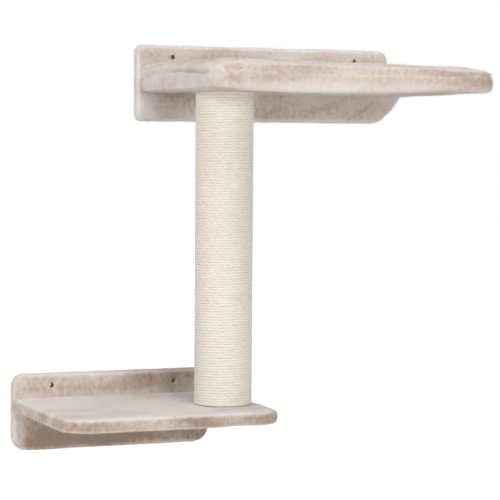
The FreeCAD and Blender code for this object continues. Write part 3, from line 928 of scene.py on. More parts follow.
@dataclass
class PlushSkin:
    """Plush over one CAD node, with its painted tone, light and shade, and its loose pile.

    Building it sets its low and high corners.
    """

    name: str
    node: str
    pile: Pile
    tufts: Tufts
    low: Vector = field(init=False)
    high: Vector = field(init=False)

    def build(self) -> bpy.types.Object:
        """Model the skin."""
        raise NotImplementedError

    def draw_in(self, inset: float) -> None:
        """Take the CAD node's corners, drawn in a little for the pile that stands on them.

        Args:
            inset: How far they are drawn in.
        """
        low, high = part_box(self.node)
        shrink = Vector((inset,) * 3)
        self.low, self.high = low + shrink, high - shrink

    def relief(self, place: Vector, normal: Vector) -> Vector:
        """Give the pile's relief at a vertex, from its place and normal."""
        return normal * self.pile.height(place)

    def paleness(self, place: Vector, normal: Vector) -> float:
        """Give the painted light and shade at a vertex, from its place and normal, with pale pile tips
        where a skin has them.
        """
        raise NotImplementedError

    def growth(self, place: Vector, normal: Vector) -> float:
        """Give how much loose pile grows at a vertex, from its place and normal."""
        raise NotImplementedError

    def paint_skin(self, skin: bpy.types.Object) -> None:
        """Paint the skin's tone, with its painted light and shade, and where its loose pile grows.

        Args:
            skin: The plush piece.
        """
        paint(skin, TONE, lambda place, normal: self.pile.tone(place, self.paleness(place, normal)))
        paint(skin, GROWTH, self.growth)


@dataclass
class WallBoardSkin(PlushSkin):
    """Plush over a wall board, with its hem folded and stapled behind."""

    corners: tuple
    hole_spacing: float
    shelf_level: float
    # Left margin of painted light, also kept clear of the painted shade under the shelf: gone beyond the
    # first distance from the left edge, full within the second.
    margin: tuple
    # Painted light on the left margin, above and below the shelf's level.
    margin_painted_light: tuple
    # Painted shade on the board under the shelf.
    under_shelf_shade: float = 0.0
    # Painted shadow of the post: where it begins across the board and how dark it is.
    post_shadow_span: tuple = ()
    post_shadow_share: float = 0.2
    # Painted light on the strip just above the shelf, where the joint would lie in shade.
    joint_painted_light: float = 0.0
    joint_band: tuple = (22 * MM, 36 * MM)
    level_fade: float = 14 * MM
    brushed_up: float = 0.0
    flare: float = 0.0
    flare_reach: float = 62 * MM
    flare_above: tuple = (36 * MM, 58 * MM)
    flare_below: tuple = (112 * MM, 72 * MM)
    flare_front: float = 9 * MM
    rim: float = 6 * MM
    back_rim: float = 3 * MM
    inset: float = 0.8 * MM
    hem: float = 25.5 * MM
    window_depth: float = 8 * MM
    hole_drop: float = 19 * MM
    hole_radius: float = 4.0 * MM
    hole_clearance: tuple = (1.5 * MM, 4 * MM)
    pale_edge: float = 8 * MM
    flat_back: float = 1 * MM
    bare_back: float = 2 * MM
    relief_rise: float = 6 * MM
    voxel: float = 1.9 * MM
    passes: int = 3
    holes: list = field(init=False)

    def build(self) -> bpy.types.Object:
        """Model the skin.

        Returns:
            The plush piece.
        """
        self.draw_in(self.inset)
        self.high.y = 0.0
        block = Block(self.low, self.high, Axis.Y, self.corners, low_rim=self.rim, high_rim=self.back_rim)
        skin = piece_from(self.name, block.build())
        middle = (self.low + self.high) / 2
        level = self.high.z + self.inset - self.hole_drop
        half = self.hole_spacing / 2
        self.holes = [Vector((middle.x + side, middle.y, level)) for side in (-half, half)]
        depth = 2 * (self.high.y - self.low.y)
        cutters = [self.window(), *(hole_cutter(hole, self.hole_radius, depth) for hole in self.holes)]
        combine(skin, cutters, Joining.CUT)
        even_out(skin, self.voxel, self.passes)
        move_vertices(skin, self.draw_out)
        move_vertices(skin, self.relief)
        self.paint_skin(skin)
        return skin

    def window(self) -> bpy.types.Object:
        """Make the cutter of the open back inside the hem."""
        inner = Vector((self.hem, 0.0, self.hem))
        low = self.low + inner
        high = self.high - inner
        low.y = -self.window_depth
        high.y = self.window_depth
        return piece_from("window", Block(low, high, Axis.Y, (0.0,) * 4).build())

    def flared(self, depth: float) -> float:
        """Give how far the plush's right-hand edge is drawn out at a depth below the top.

        Args:
            depth: The depth.

        Returns:
            The distance.
        """
        foot, most = self.flare_below
        share = min(1.0, max(0.0, (foot - depth) / (foot - most)))
        return self.flare * share * smooth_step(depth, *self.flare_above)

    def draw_out(self, place: Vector, normal: Vector) -> Vector:
        """Draw the plush out to the right where it goes up under the shelf.

        Args:
            place: The vertex.
            normal: Its normal.

        Returns:
            The move.
        """
        share = max(0.0, 1 - (self.high.x - place.x) / self.flare_reach) ** 2
        share *= min(1.0, max(0.0, -place.y / self.flare_front))
        return Vector((self.flared(self.high.z - place.z) * share, 0.0, 0.0))

    def paleness(self, place: Vector, normal: Vector) -> float:
        """Give the painted light and shade: pale along the edges, where pile tips show and painted light
        catches the rounding, painted light on the left margin and just above the shelf, and painted shade
        under the shelf and in the post's painted shadow.

        Args:
            place: The vertex.
            normal: Its normal.

        Returns:
            The share.
        """
        left, depth = place.x - self.low.x, self.high.z - place.z
        right = self.high.x + self.flared(depth) - place.x
        inward = min(left, right, place.z - self.low.z, depth)
        # Painted light on the left margin and just above the shelf; pale edges where pile tips show and
        # painted light catches the rounding.
        margin = smooth_step(left, *self.margin)
        below = smooth_step(depth, self.shelf_level, self.shelf_level + self.level_fade)
        light_above, light_below = self.margin_painted_light
        margin_light = margin * (light_above + (light_below - light_above) * below)
        joint = self.joint_painted_light * (1 - below) * smooth_step(depth, *self.joint_band)
        tips = max(smooth_step(inward, self.pale_edge, 0.0), margin_light, joint)
        # flat: painted shade on the board under the shelf, and the post's painted shadow.
        flat = self.under_shelf_shade * below * (1 - margin)
        # The post's painted shadow on the board.
        if self.post_shadow_span:
            flat = max(flat, self.post_shadow_share * smooth_step(place.x, *self.post_shadow_span))
        return max(tips, self.brushed_up) - flat

    def growth(self, place: Vector, normal: Vector) -> float:
        """Say where loose pile grows: not on the flat back, nor in the screw holes.

        Args:
            place: The vertex.
            normal: Its normal.

        Returns:
            The share.
        """
        if place.y > -self.bare_back:
            return 0.0
        reach = min(math.hypot(place.x - hole.x, place.z - hole.z) for hole in self.holes)
        return smooth_step(reach - self.hole_radius, *self.hole_clearance)

    def relief(self, place: Vector, normal: Vector) -> Vector:
        """Give the plush's relief at a vertex, none on the flat back.

        Args:
            place: The vertex.
            normal: Its normal.

        Returns:
            The move.
        """
        share = max(0.0, min(1.0, (-place.y - self.flat_back) / self.relief_rise))
        return normal * (self.pile.height(place) * share)


@dataclass
class ShelfSkin(PlushSkin):
    """Plush over a shelf, pressed at the post's end and bare against the wall board."""

    sink: float = 3.5 * MM
    bare_edge: float = 2 * MM
    nose_reach: float = 34 * MM
    post_seat: float = 43.4 * MM
    post_gap: float = 0.3 * MM
    level_turn: float = 0.5

    def off_wall(self, place: Vector) -> bool:
        """Say whether a place is clear of the wall board."""
        return place.y < self.high.y - self.sink - self.bare_edge

    def nose_share(self, place: Vector) -> float:
        """Give how near a place is to the shelf's right-hand edge, 1 at the edge."""
        return smooth_step(place.x, self.high.x - self.nose_reach, self.high.x)


@dataclass
class PlainShelfSkin(ShelfSkin):
    """Plush over the lower shelf, pressed where the post stands on it and under its bolt's washer."""

    corners: tuple = (40 * MM, 38 * MM, 0.0, 0.0)
    rim: float = 7.5 * MM
    lower_rim: float = 4 * MM
    inset: float = 0.4 * MM
    # Painted light on the top and the underside, and painted shade on the front, each with the normals over
    # which it comes in.
    level_painted_light: float = 1.15
    top_turn: tuple = (0.25, 0.95)
    front_painted_shade: float = 0.45
    front_turn: tuple = (0.3, 0.9)
    underside_painted_light: float = 0.7
    lower_turn: tuple = (0.1, 0.6)
    nose_round: tuple = (1.5 * MM, 3.5 * MM)
    voxel: float = 2.3 * MM
    passes: int = 3
    foot_skirt: float = 5 * MM
    washer_seat: float = 12.6 * MM
    washer_gap: float = 0.2 * MM
    dip: float = 0.3 * MM
    dip_reach: float = 14 * MM
    post_foot: float = field(init=False)
    washer_top: float = field(init=False)

    def build(self) -> bpy.types.Object:
        """Model the skin.

        Returns:
            The plush piece.
        """
        self.draw_in(self.inset)
        self.high.y += self.sink
        self.post_foot = heights("post_tube")[0] - self.post_gap
        self.washer_top = heights("post_lower_washer")[1] + self.washer_gap
        block = Block(self.low, self.high, Axis.Z, self.corners, low_rim=self.lower_rim, high_rim=self.rim)
        skin = piece_from(self.name, block.build())
        even_out(skin, self.voxel, self.passes)
        for move in (self.round_nose, self.relief, self.press):
            move_vertices(skin, move)
        self.paint_skin(skin)
        return skin

    def paleness(self, place: Vector, normal: Vector) -> float:
        """Give the painted light and shade: painted light on the top and the underside, painted shade on
        the front.

        Args:
            place: The vertex.
            normal: Its normal.

        Returns:
            The share.
        """
        front = self.front_painted_shade * smooth_step(-normal.y, *self.front_turn)
        lower = self.underside_painted_light * smooth_step(-normal.z, *self.lower_turn)
        return self.level_painted_light * smooth_step(normal.z, *self.top_turn) + lower - front

    def round_nose(self, place: Vector, normal: Vector) -> Vector:
        """Round the shelf's right-hand edge off, as its plush is drawn tight there.

        Args:
            place: The vertex.
            normal: Its normal.

        Returns:
            The move.
        """
        height = 2 * (place.z - self.low.z) / (self.high.z - self.low.z) - 1
        most = self.nose_round[0] if height > 0 else self.nose_round[1]
        share = self.nose_share(place) * height * height
        return Vector((-normal.x, -normal.y, 0.0)) * (most * share)

    def growth(self, place: Vector, normal: Vector) -> float:
        """Say where loose pile grows: not under the post or its washer, nor against the wall board.

        Args:
            place: The vertex.
            normal: Its normal.

        Returns:
            The share.
        """
        above = place.z > self.post_foot - self.foot_skirt
        clear = post_reach(place) > (self.post_seat if above else self.washer_seat + self.voxel)
        return float(clear and self.off_wall(place))

    def press(self, place: Vector, normal: Vector) -> Vector:
        """Sink the plush under the post's foot, with a shallow dip round it, and over its washer.

        Args:
            place: The vertex.
            normal: Its normal.

        Returns:
            The move.
        """
        reach = post_reach(place)
        if normal.z < -self.level_turn and reach < self.washer_seat:
            return Vector((0.0, 0.0, max(0.0, self.washer_top - place.z)))
        if normal.z < self.level_turn:
            return Vector()
        if reach < self.post_seat:
            return Vector((0.0, 0.0, min(0.0, self.post_foot - place.z)))
        share = smooth_step(reach, self.post_seat + self.dip_reach, self.post_seat)
        return Vector((0.0, 0.0, -self.dip * share))


@dataclass
class PaddedShelfSkin(ShelfSkin):
    """Plush over the upper shelf and its foam pad, swollen above a drawn-in crease."""

    underside_rim: float = 5.5 * MM
    crease_rim: float = 3.5 * MM
    corners: tuple = (45 * MM, 47 * MM, 0.0, 0.0)
    inset: float = 0.1 * MM
    underside_inset: float = 0.7 * MM
    left_swell: float = 4.5 * MM
    swell_rise: float = 10 * MM
    swell_reach: Vector = Vector((110 * MM, 330 * MM))
    swell_fall: float = 1.5
    lip_droop: float = 6.5 * MM
    lip_swell: float = 1.8 * MM
    lip_height: float = 9 * MM
    lip_reach: float = 26 * MM
    lip_fade: tuple = (172 * MM, 40 * MM)
    lip_start: tuple = (-60 * MM, 130 * MM)
    lip_sink_shares: tuple = (2.0, 0.3)
    lip_roll_shares: tuple = (0.4, 0.45)
    # The front's lower lip is drawn paler.
    lip_lightening: float = 0.6
    lip_paleness: tuple = (-42 * MM, -54 * MM)
    # Painted light on the left side and on the top and underside, and painted shade at the rounded
    # front-left corner.
    side_painted_light: float = 0.8
    side_turn: tuple = (0.6, 0.95)
    level_painted_light: float = 0.7
    top_turn: tuple = (0.4, 0.95)
    bend_painted_shade: float = 0.45
    bend_centre: float = 0.4
    bend_turn: tuple = (0.35, 0.1)
    # The front face is drawn darker towards its right end.
    right_tone: float = 0.55
    right_fade: tuple = (60 * MM, 210 * MM)
    front_turn: tuple = (0.4, 0.9)
    nose_lift: float = 1.4 * MM
    nose_reach: float = 36 * MM
    nose_push: float = 3.5 * MM
    nose_belly: tuple = (0.35, 0.7)
    pad_roll: float = 7 * MM
    pad_steps: int = 7
    pad_lap: float = 6 * MM
    right_fall: float = 6.5 * MM
    fall_length: float = 265 * MM
    voxel: float = 5 * MM
    fine_voxel: float = 2.4 * MM
    passes: int = 2
    held_foot: float = 2 * MM
    held_back: float = 8 * MM
    pressure: float = 4.0
    quality: int = 6
    frames: int = 18
    cap: float = 4 * MM
    bank: float = 0.9 * MM
    bank_place: float = 0.8
    bank_reach: float = 5 * MM
    board_top: float = field(init=False)
    post_head: float = field(init=False)

    def build(self) -> bpy.types.Object:
        """Model the skin.

        Returns:
            The plush piece.
        """
        self.draw_in(self.inset)
        self.low.z += self.underside_inset
        self.high.y += self.sink
        self.board_top = heights("upper_shelf_board")[1]
        self.post_head = heights("post_tube")[1] + self.post_gap
        wrap_high = Vector((self.high.x, self.high.y, self.board_top))
        wrap = Block(self.low, wrap_high, Axis.Z, self.corners, low_rim=self.underside_rim,
                     high_rim=self.crease_rim)
        skin = piece_from(self.name, wrap.build())
        combine(skin, [self.pad()], Joining.FUSE)
        even_out(skin, self.voxel, self.passes)
        self.inflate(skin)
        even_out(skin, self.fine_voxel, self.passes)
        for move in (self.settle, self.round_nose, self.relief, self.press):
            move_vertices(skin, move)
        self.paint_skin(skin)
        return skin

    def paleness(self, place: Vector, normal: Vector) -> float:
        """Give the painted light and shade: painted light on the left side, the top and the underside, a
        paler lower lip, painted shade at the rounded front-left corner, and the front darker towards its
        right end.

        Args:
            place: The vertex.
            normal: Its normal.

        Returns:
            The share.
        """
        # Painted light on the left side and the level faces, painted shade at the front-left bend.
        left = self.side_painted_light * smooth_step(-normal.x, *self.side_turn)
        lip = self.lip_lightening * smooth_step(place.z, *self.lip_paleness)
        top = self.level_painted_light * smooth_step(abs(normal.z), *self.top_turn)
        bend = self.bend_painted_shade * smooth_step(abs(normal.x + self.bend_centre), *self.bend_turn)
        front = smooth_step(-normal.y, *self.front_turn)
        right_darkening = self.right_tone * smooth_step(place.x, *self.right_fade) * front
        return max(left, lip, top) - bend - right_darkening

    def growth(self, place: Vector, normal: Vector) -> float:
        """Say where loose pile grows: not over the post, nor against the wall board.

        Args:
            place: The vertex.
            normal: Its normal.

        Returns:
            The share.
        """
        clear = post_reach(place) > self.post_seat or place.z > self.board_top
        return float(clear and self.off_wall(place))

    def settle(self, place: Vector, normal: Vector) -> Vector:
        """Let the pad stand higher at its left end, and its plush hang over the front edge.

        Args:
            place: The vertex.
            normal: Its normal.

        Returns:
            The move.
        """
        return self.rise(place) + self.hang(place)

    def rise(self, place: Vector) -> Vector:
        """Let the pad stand a little higher at its left end, most by the wall.

        Args:
            place: The vertex.

        Returns:
            The move.
        """
        share = max(0.0, min(1.0, (place.z - self.board_top) / self.swell_rise))
        share *= smooth_step(place.x - self.low.x, self.swell_reach.x, 0.0)
        share *= 1 - min(1.0, abs(place.y) / self.swell_reach.y) ** self.swell_fall
        return Vector((0.0, 0.0, self.left_swell * share))

    def round_nose(self, place: Vector, normal: Vector) -> Vector:
        """Push the upper part of the nose out a little.

        Args:
            place: The vertex.
            normal: Its normal.

        Returns:
            The move.
        """
        height = (place.z - self.low.z) / (self.high.z - self.low.z)
        share = smooth_step(height, *self.nose_belly) * self.nose_share(place)
        return Vector((normal.x, normal.y, 0.0)) * (self.nose_push * share)

    def hang(self, place: Vector) -> Vector:
        """Let the plush's rolled lower edge hang a little along the front, and draw it up at the nose.

        Args:
            place: The vertex.

        Returns:
            The move.
        """
        above = (place.z - self.low.z) / self.lip_height
        if above > self.lip_sink_shares[0]:
            return Vector()
        inward = (place.y - self.low.y) / self.lip_reach
        share = math.exp(-inward * inward) * smooth_step(place.x, *self.lip_fade)
        share *= smooth_step(place.x - self.low.x, *self.lip_start)
        sink = smooth_step(above, *self.lip_sink_shares)
        middle, half = self.lip_roll_shares
        roll = math.exp(-((above - middle) / half) ** 2)
        lift = Vector((0.0, 0.0, self.nose_lift * self.nose_share(place) * sink))
        return lift + Vector((0.0, -self.lip_swell * roll, -self.lip_droop * sink)) * share

    def pad(self) -> bpy.types.Object:
        """Model the crowned pad that swells above the crease.

        Returns:
            The pad's block, which laps into the wrap below it and runs square into the wall board.
        """
        low, high = self.low, self.high
        crown = high.z - self.board_top
        stretch = self.pad_roll / crown
        foot = self.board_top - self.pad_lap
        tall = Vector((high.x, high.y + 2 * self.pad_roll, foot + (high.z - foot) * stretch))
        block = Block(Vector((low.x, low.y, foot)), tall, Axis.Z, self.corners, high_rim=self.pad_roll,
                      rim_steps=self.pad_steps)
        bm = block.build()
        sides = [*bm.verts, *bm.edges, *bm.faces]
        cut = bmesh.ops.bisect_plane(bm, geom=sides, plane_co=high, plane_no=(0, 1, 0), clear_outer=True)
        rim = [part for part in cut["geom_cut"] if isinstance(part, bmesh.types.BMEdge)]
        bmesh.ops.contextual_create(bm, geom=rim)
        for vertex in bm.verts:
            vertex.co.z = foot + (vertex.co.z - foot) / stretch
            raised = max(0.0, (vertex.co.z - self.board_top) / crown)
            fall = max(0.0, 1.0 - (high.x - vertex.co.x) / self.fall_length)
            vertex.co.z -= raised * self.right_fall * fall
        return piece_from("pad", bm)

    def inflate(self, skin: bpy.types.Object) -> None:
        """Swell the pad with a short cloth simulation, held at the board and at the wall.

        Args:
            skin: The coarse skin.
        """
        rest = [vertex.co.copy() for vertex in skin.data.vertices]
        wall = max(place.y for place in rest)
        held = skin.vertex_groups.new(name="held")
        for index, place in enumerate(rest):
            firm = place.z < self.board_top + self.held_foot or place.y > wall - self.held_back
            held.add([index], 1.0 if firm else 0.0, "REPLACE")
        cloth = skin.modifiers.new("swell", "CLOTH")
        cloth.settings.use_pressure = True
        cloth.settings.uniform_pressure_force = self.pressure
        cloth.settings.vertex_group_mass = "held"
        cloth.settings.effector_weights.gravity = 0.0
        cloth.settings.quality = self.quality
        cloth.point_cache.frame_start = 1
        cloth.point_cache.frame_end = self.frames
        scene = bpy.context.scene
        for step in range(1, self.frames + 1):
            scene.frame_set(step)
        bake(skin)
        scene.frame_set(1)
        skin.vertex_groups.clear()
        for vertex, start in zip(skin.data.vertices, rest):
            move = vertex.co - start
            if move.length > self.cap:
                vertex.co = start + move.normalized() * self.cap
        skin.data.update()

    def press(self, place: Vector, normal: Vector) -> Vector:
        """Sink the underside's plush round the post's head.

        Args:
            place: The vertex.
            normal: Its normal.

        Returns:
            The move.
        """
        if normal.z > -self.level_turn:
            return Vector()
        reach = post_reach(place)
        if reach < self.post_seat:
            return Vector((0.0, 0.0, max(0.0, self.post_head - place.z)))
        share = math.exp(-((reach - self.post_seat) / self.bank_reach - self.bank_place) ** 2)
        return Vector((0.0, 0.0, -self.bank * share))


# Rope


class RopeRun(Enum):
    """The stretches of the winding, each with the CAD node that it replaces."""

    LOWER = "rope_lower_turns"
    MIDDLE = "rope_middle_turns"
    UPPER = "rope_upper_turns"


@dataclass
class SisalWinding:
    """One twisted rope wound closely round the post, from foot to head."""

    pitch: float = 4.2 * MM
    end_turns: int = 3
    middle_runs: int = 2
    outer_radius: float = 45.0 * MM
    strand_low: float = 1.55 * MM
    strand_high: float = 2.75 * MM
    flatten: float = 0.62
    strands: int = 3
    strand_corners: int = 3
    lay: float = 13.5 * MM
    step: float = 1.9 * MM
    margin: float = 2.2 * MM
    waver: float = 0.2 * MM
    waver_length: float = 35 * MM
    waver_row: float = 7.0
    waver_outward: float = 0.6

    @property
    def radius(self) -> float:
        """Radius of the rope's centre line about the post's axis."""
        return self.outer_radius - self.strand_high * self.flatten

    @property
    def turn(self) -> float:
        """Length of one turn of the rope."""
        return math.hypot(2 * math.pi * self.radius, self.pitch)

    def section(self) -> bpy.types.Object:
        """Make the rope's section, with one lobe for each strand.

        Returns:
            A closed flat curve.
        """
        curve = bpy.data.curves.new("rope_section", "CURVE")
        spline = curve.splines.new("POLY")
        corners = self.strand_corners * self.strands
        spline.points.add(corners - 1)
        for index, point in enumerate(spline.points):
            lobe = abs(math.cos(math.pi * index / self.strand_corners))
            reach = self.strand_low + (self.strand_high - self.strand_low) * lobe
            angle = 2 * math.pi * index / corners
            point.co = (reach * math.cos(angle), reach * math.sin(angle), 0.0, 1.0)
        spline.use_cyclic_u = True
        return new_piece("rope_section", curve)

    def run(self, name: str, section: bpy.types.Object, start: float, end: float,
            foot: float, head: float) -> bpy.types.Object:
        """Model one stretch of the winding.

        Beyond the first turn and the last the rope runs level, pressed against the plush.

        Args:
            name: Name of the piece.
            section: The rope's section.
            start: Length along the rope where it starts.
            end: Length along the rope where it ends.
            foot: Height of the rope's first turn.
            head: Height of its last turn.

        Returns:
            The rope piece.
        """
        count = round((end - start) / self.step) + 1
        places, tilts = [], []
        for index in range(count):
            length = start + (end - start) * index / (count - 1)
            angle = 2 * math.pi * length / self.turn
            drift = self.waver * noise.noise(Vector((length / self.waver_length, 0.0, self.waver_row)))
            reach = self.radius + self.waver_outward * drift
            height = min(max(foot + self.pitch * length / self.turn, foot), head) + drift
            x = POST_AXIS.x + reach * math.cos(angle)
            y = POST_AXIS.y + reach * math.sin(angle)
            places += [x, y, height, 1.0]
            tilts.append(-2 * math.pi * length / self.lay)
        curve = bpy.data.curves.new(name, "CURVE")
        curve.dimensions = "3D"
        curve.twist_mode = "Z_UP"
        curve.bevel_mode = "OBJECT"
        curve.bevel_object = section
        curve.use_fill_caps = True
        spline = curve.splines.new("POLY")
        spline.points.add(count - 1)
        spline.points.foreach_set("co", places)
        spline.points.foreach_set("tilt", tilts)
        line = new_piece("rope_line", curve)
        graph = bpy.context.evaluated_depsgraph_get()
        mesh = bpy.data.meshes.new_from_object(line.evaluated_get(graph))
        remove(line)
        mesh.shade_smooth()
        rope = new_piece(name, mesh)
        move_vertices(rope, lambda place, normal: self.squash(place))
        paint(rope, TONE, lambda place, normal: self.strand_crease_shading(place, foot, head))
        return rope

    def strand_crease_shading(self, place: Vector, foot: float, head: float) -> float:
        """Give the painted shade in the creases between the strands, by how far a place stands out of them.

        Args:
            place: A vertex of the pressed rope.
            foot: Height of the rope's first turn.
            head: Height of its last turn.

        Returns:
            0 in a crease, where the shade is painted in full, 1 on a strand's crest.
        """
        spoke = place.xy - POST_AXIS
        turns = (place.z - foot) / self.pitch - math.atan2(spoke.y, spoke.x) / (2 * math.pi)
        above = min(abs(turns - round(turns)) * self.pitch, abs(place.z - foot), abs(place.z - head))
        outward = (spoke.length - self.radius) / self.flatten
        middle = (self.strand_low + self.strand_high) / 2
        return smooth_step(math.hypot(outward, above), middle, self.strand_high)

    def squash(self, place: Vector) -> Vector:
        """Press the rope flat against the post, so that its turns meet.

        Args:
            place: A vertex of the rope.

        Returns:
            The move.
        """
        spoke = place.xy - POST_AXIS
        inward = (spoke.length - self.radius) * (self.flatten - 1)
        return Vector((*(spoke.normalized() * inward), 0.0))

    def build(self) -> list:
        """Wind the rope.

        Returns:
            Pairs of a rope piece and the CAD node that it replaces.
        """
        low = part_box(RopeRun.LOWER.value)[0].z
        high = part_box(RopeRun.UPPER.value)[1].z
        foot = low + self.margin
        turns = (high - low - 2 * self.margin) / self.pitch
        middle = (turns - 2 * self.end_turns) / self.middle_runs
        runs = [(RopeRun.LOWER, self.end_turns)]
        runs += [(RopeRun.MIDDLE, middle)] * self.middle_runs
        runs += [(RopeRun.UPPER, self.end_turns)]
        section = self.section()
        head = foot + turns * self.pitch
        pieces, start = [], 0.0
        for index, (stretch, count) in enumerate(runs, start=1):
            end = start + count * self.turn
            before = self.turn if stretch is RopeRun.LOWER else 0.0
            after = self.turn if stretch is RopeRun.UPPER else 0.0
            rope = self.run(f"sisal_rope_{index}", section, start - before, end + after, foot, head)
            pieces.append((rope, stretch.value))
            start = end
        remove(section)
        return pieces


# Small fasteners


class Unit(Enum):
    """The two wall units."""

    UPPER = "upper"
    LOWER = "lower"


@dataclass
class HemStaples:
    """Row of staples that hold a wall board's hem, as flat steel crowns."""

    unit: Unit
    crown: Vector = Vector((11 * MM, 0.7 * MM, 1.3 * MM))
    inset: float = 17 * MM
    pitch: float = 34 * MM
    back: float = -0.5 * MM
    rounding: float = 0.25 * MM
    rounding_steps: int = 2
    foot_lean: float = 0.12
    top_lean: float = -0.1
    lean_step: float = 3.7
    side_shares: tuple = (0.3, 0.7)
    side_lean: float = 0.1

    def build(self) -> bpy.types.Object:
        """Model the staples.

        Returns:
            The piece.
        """
        low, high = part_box(f"{self.unit.value}_wall_board_cover")
        bm = bmesh.new()
        span = high.x - low.x - 2 * self.inset
        count = int(span / self.pitch)
        for index in range(count):
            x = low.x + self.inset + span * (index + 0.5) / count
            for z, lean in ((low.z + self.inset, self.foot_lean), (high.z - self.inset, self.top_lean)):
                self.staple(bm, Vector((x, self.back, z)), lean * math.sin(self.lean_step * index))
        rise = high.z - low.z - 2 * self.inset
        for side in (low.x + self.inset, high.x - self.inset):
            for share in self.side_shares:
                spot = Vector((side, self.back, low.z + self.inset + share * rise))
                self.staple(bm, spot, math.pi / 2 + self.side_lean * share)
        return piece_from(f"{self.unit.value}_hem_staples", bm)

    def staple(self, bm: bmesh.types.BMesh, spot: Vector, turn: float) -> None:
        """Add one staple.

        Args:
            bm: The mesh that it goes into.
            spot: Its centre.
            turn: Its turn on the board, in radians.
        """
        made = bmesh.ops.create_cube(bm, size=1.0)["verts"]
        bmesh.ops.scale(bm, vec=self.crown, verts=made)
        edges = list({edge for vertex in made for edge in vertex.link_edges})
        made = bmesh.ops.bevel(bm, geom=edges, offset=self.rounding, segments=self.rounding_steps,
                               profile=0.5, affect="EDGES", material=-1)["verts"]
        bmesh.ops.rotate(bm, cent=(0, 0, 0), matrix=Matrix.Rotation(turn, 3, "Y"), verts=made)
        bmesh.ops.translate(bm, vec=spot, verts=made)


# Set


@dataclass(frozen=True)
class PhotoCamera:
    """Camera at the photograph's viewpoint, solved from the object's own lines."""

    place: Vector = Vector((-1.3208, -3.1329, -0.1438))
    yaw: float = 0.3942
    pitch: float = 0.0501
    roll: float = 0.0067
    focal_px: float = 2050.9
    frame_px: float = 500.0
    sensor_mm: float = 36.0
    sight: float = 50.0

    def set_up(self) -> None:
        """Make the scene's camera."""
        data = bpy.data.cameras.new("camera")
        data.sensor_width = self.sensor_mm
        data.lens = self.focal_px / self.frame_px * self.sensor_mm
        data.clip_end = self.sight
        camera = bpy.data.objects.new("camera", data)
        bpy.context.scene.collection.objects.link(camera)
        sin_yaw, cos_yaw = math.sin(self.yaw), math.cos(self.yaw)
        sin_pitch, cos_pitch = math.sin(self.pitch), math.cos(self.pitch)
        forward = Vector((sin_yaw * cos_pitch, cos_yaw * cos_pitch, -sin_pitch))
        level_right = Vector((cos_yaw, -sin_yaw, 0.0))
        level_up = Vector((sin_yaw * sin_pitch, cos_yaw * sin_pitch, cos_pitch))
        right = level_right * math.cos(self.roll) + level_up * math.sin(self.roll)
        up = level_up * math.cos(self.roll) - level_right * math.sin(self.roll)
        turn = Matrix((right, up, -forward)).transposed()
        camera.matrix_world = Matrix.Translation(self.place) @ turn.to_4x4()
        bpy.context.scene.camera = camera


@dataclass(frozen=True)
class Lamp:
    """Soft box that looks at a point."""

    name: str
    place: Vector
    size: float
    power: float

    def hang(self, target: Vector) -> None:
        """Add the lamp to the scene.

        Args:
            target: The point.
        """
        data = bpy.data.lights.new(self.name, "AREA")
        data.shape = "SQUARE"
        data.size = self.size
        data.energy = self.power
        lamp = bpy.data.objects.new(self.name, data)
        bpy.context.scene.collection.objects.link(lamp)
        lamp.location = self.place
        lamp.rotation_euler = (target - self.place).to_track_quat("-Z", "Y").to_euler()


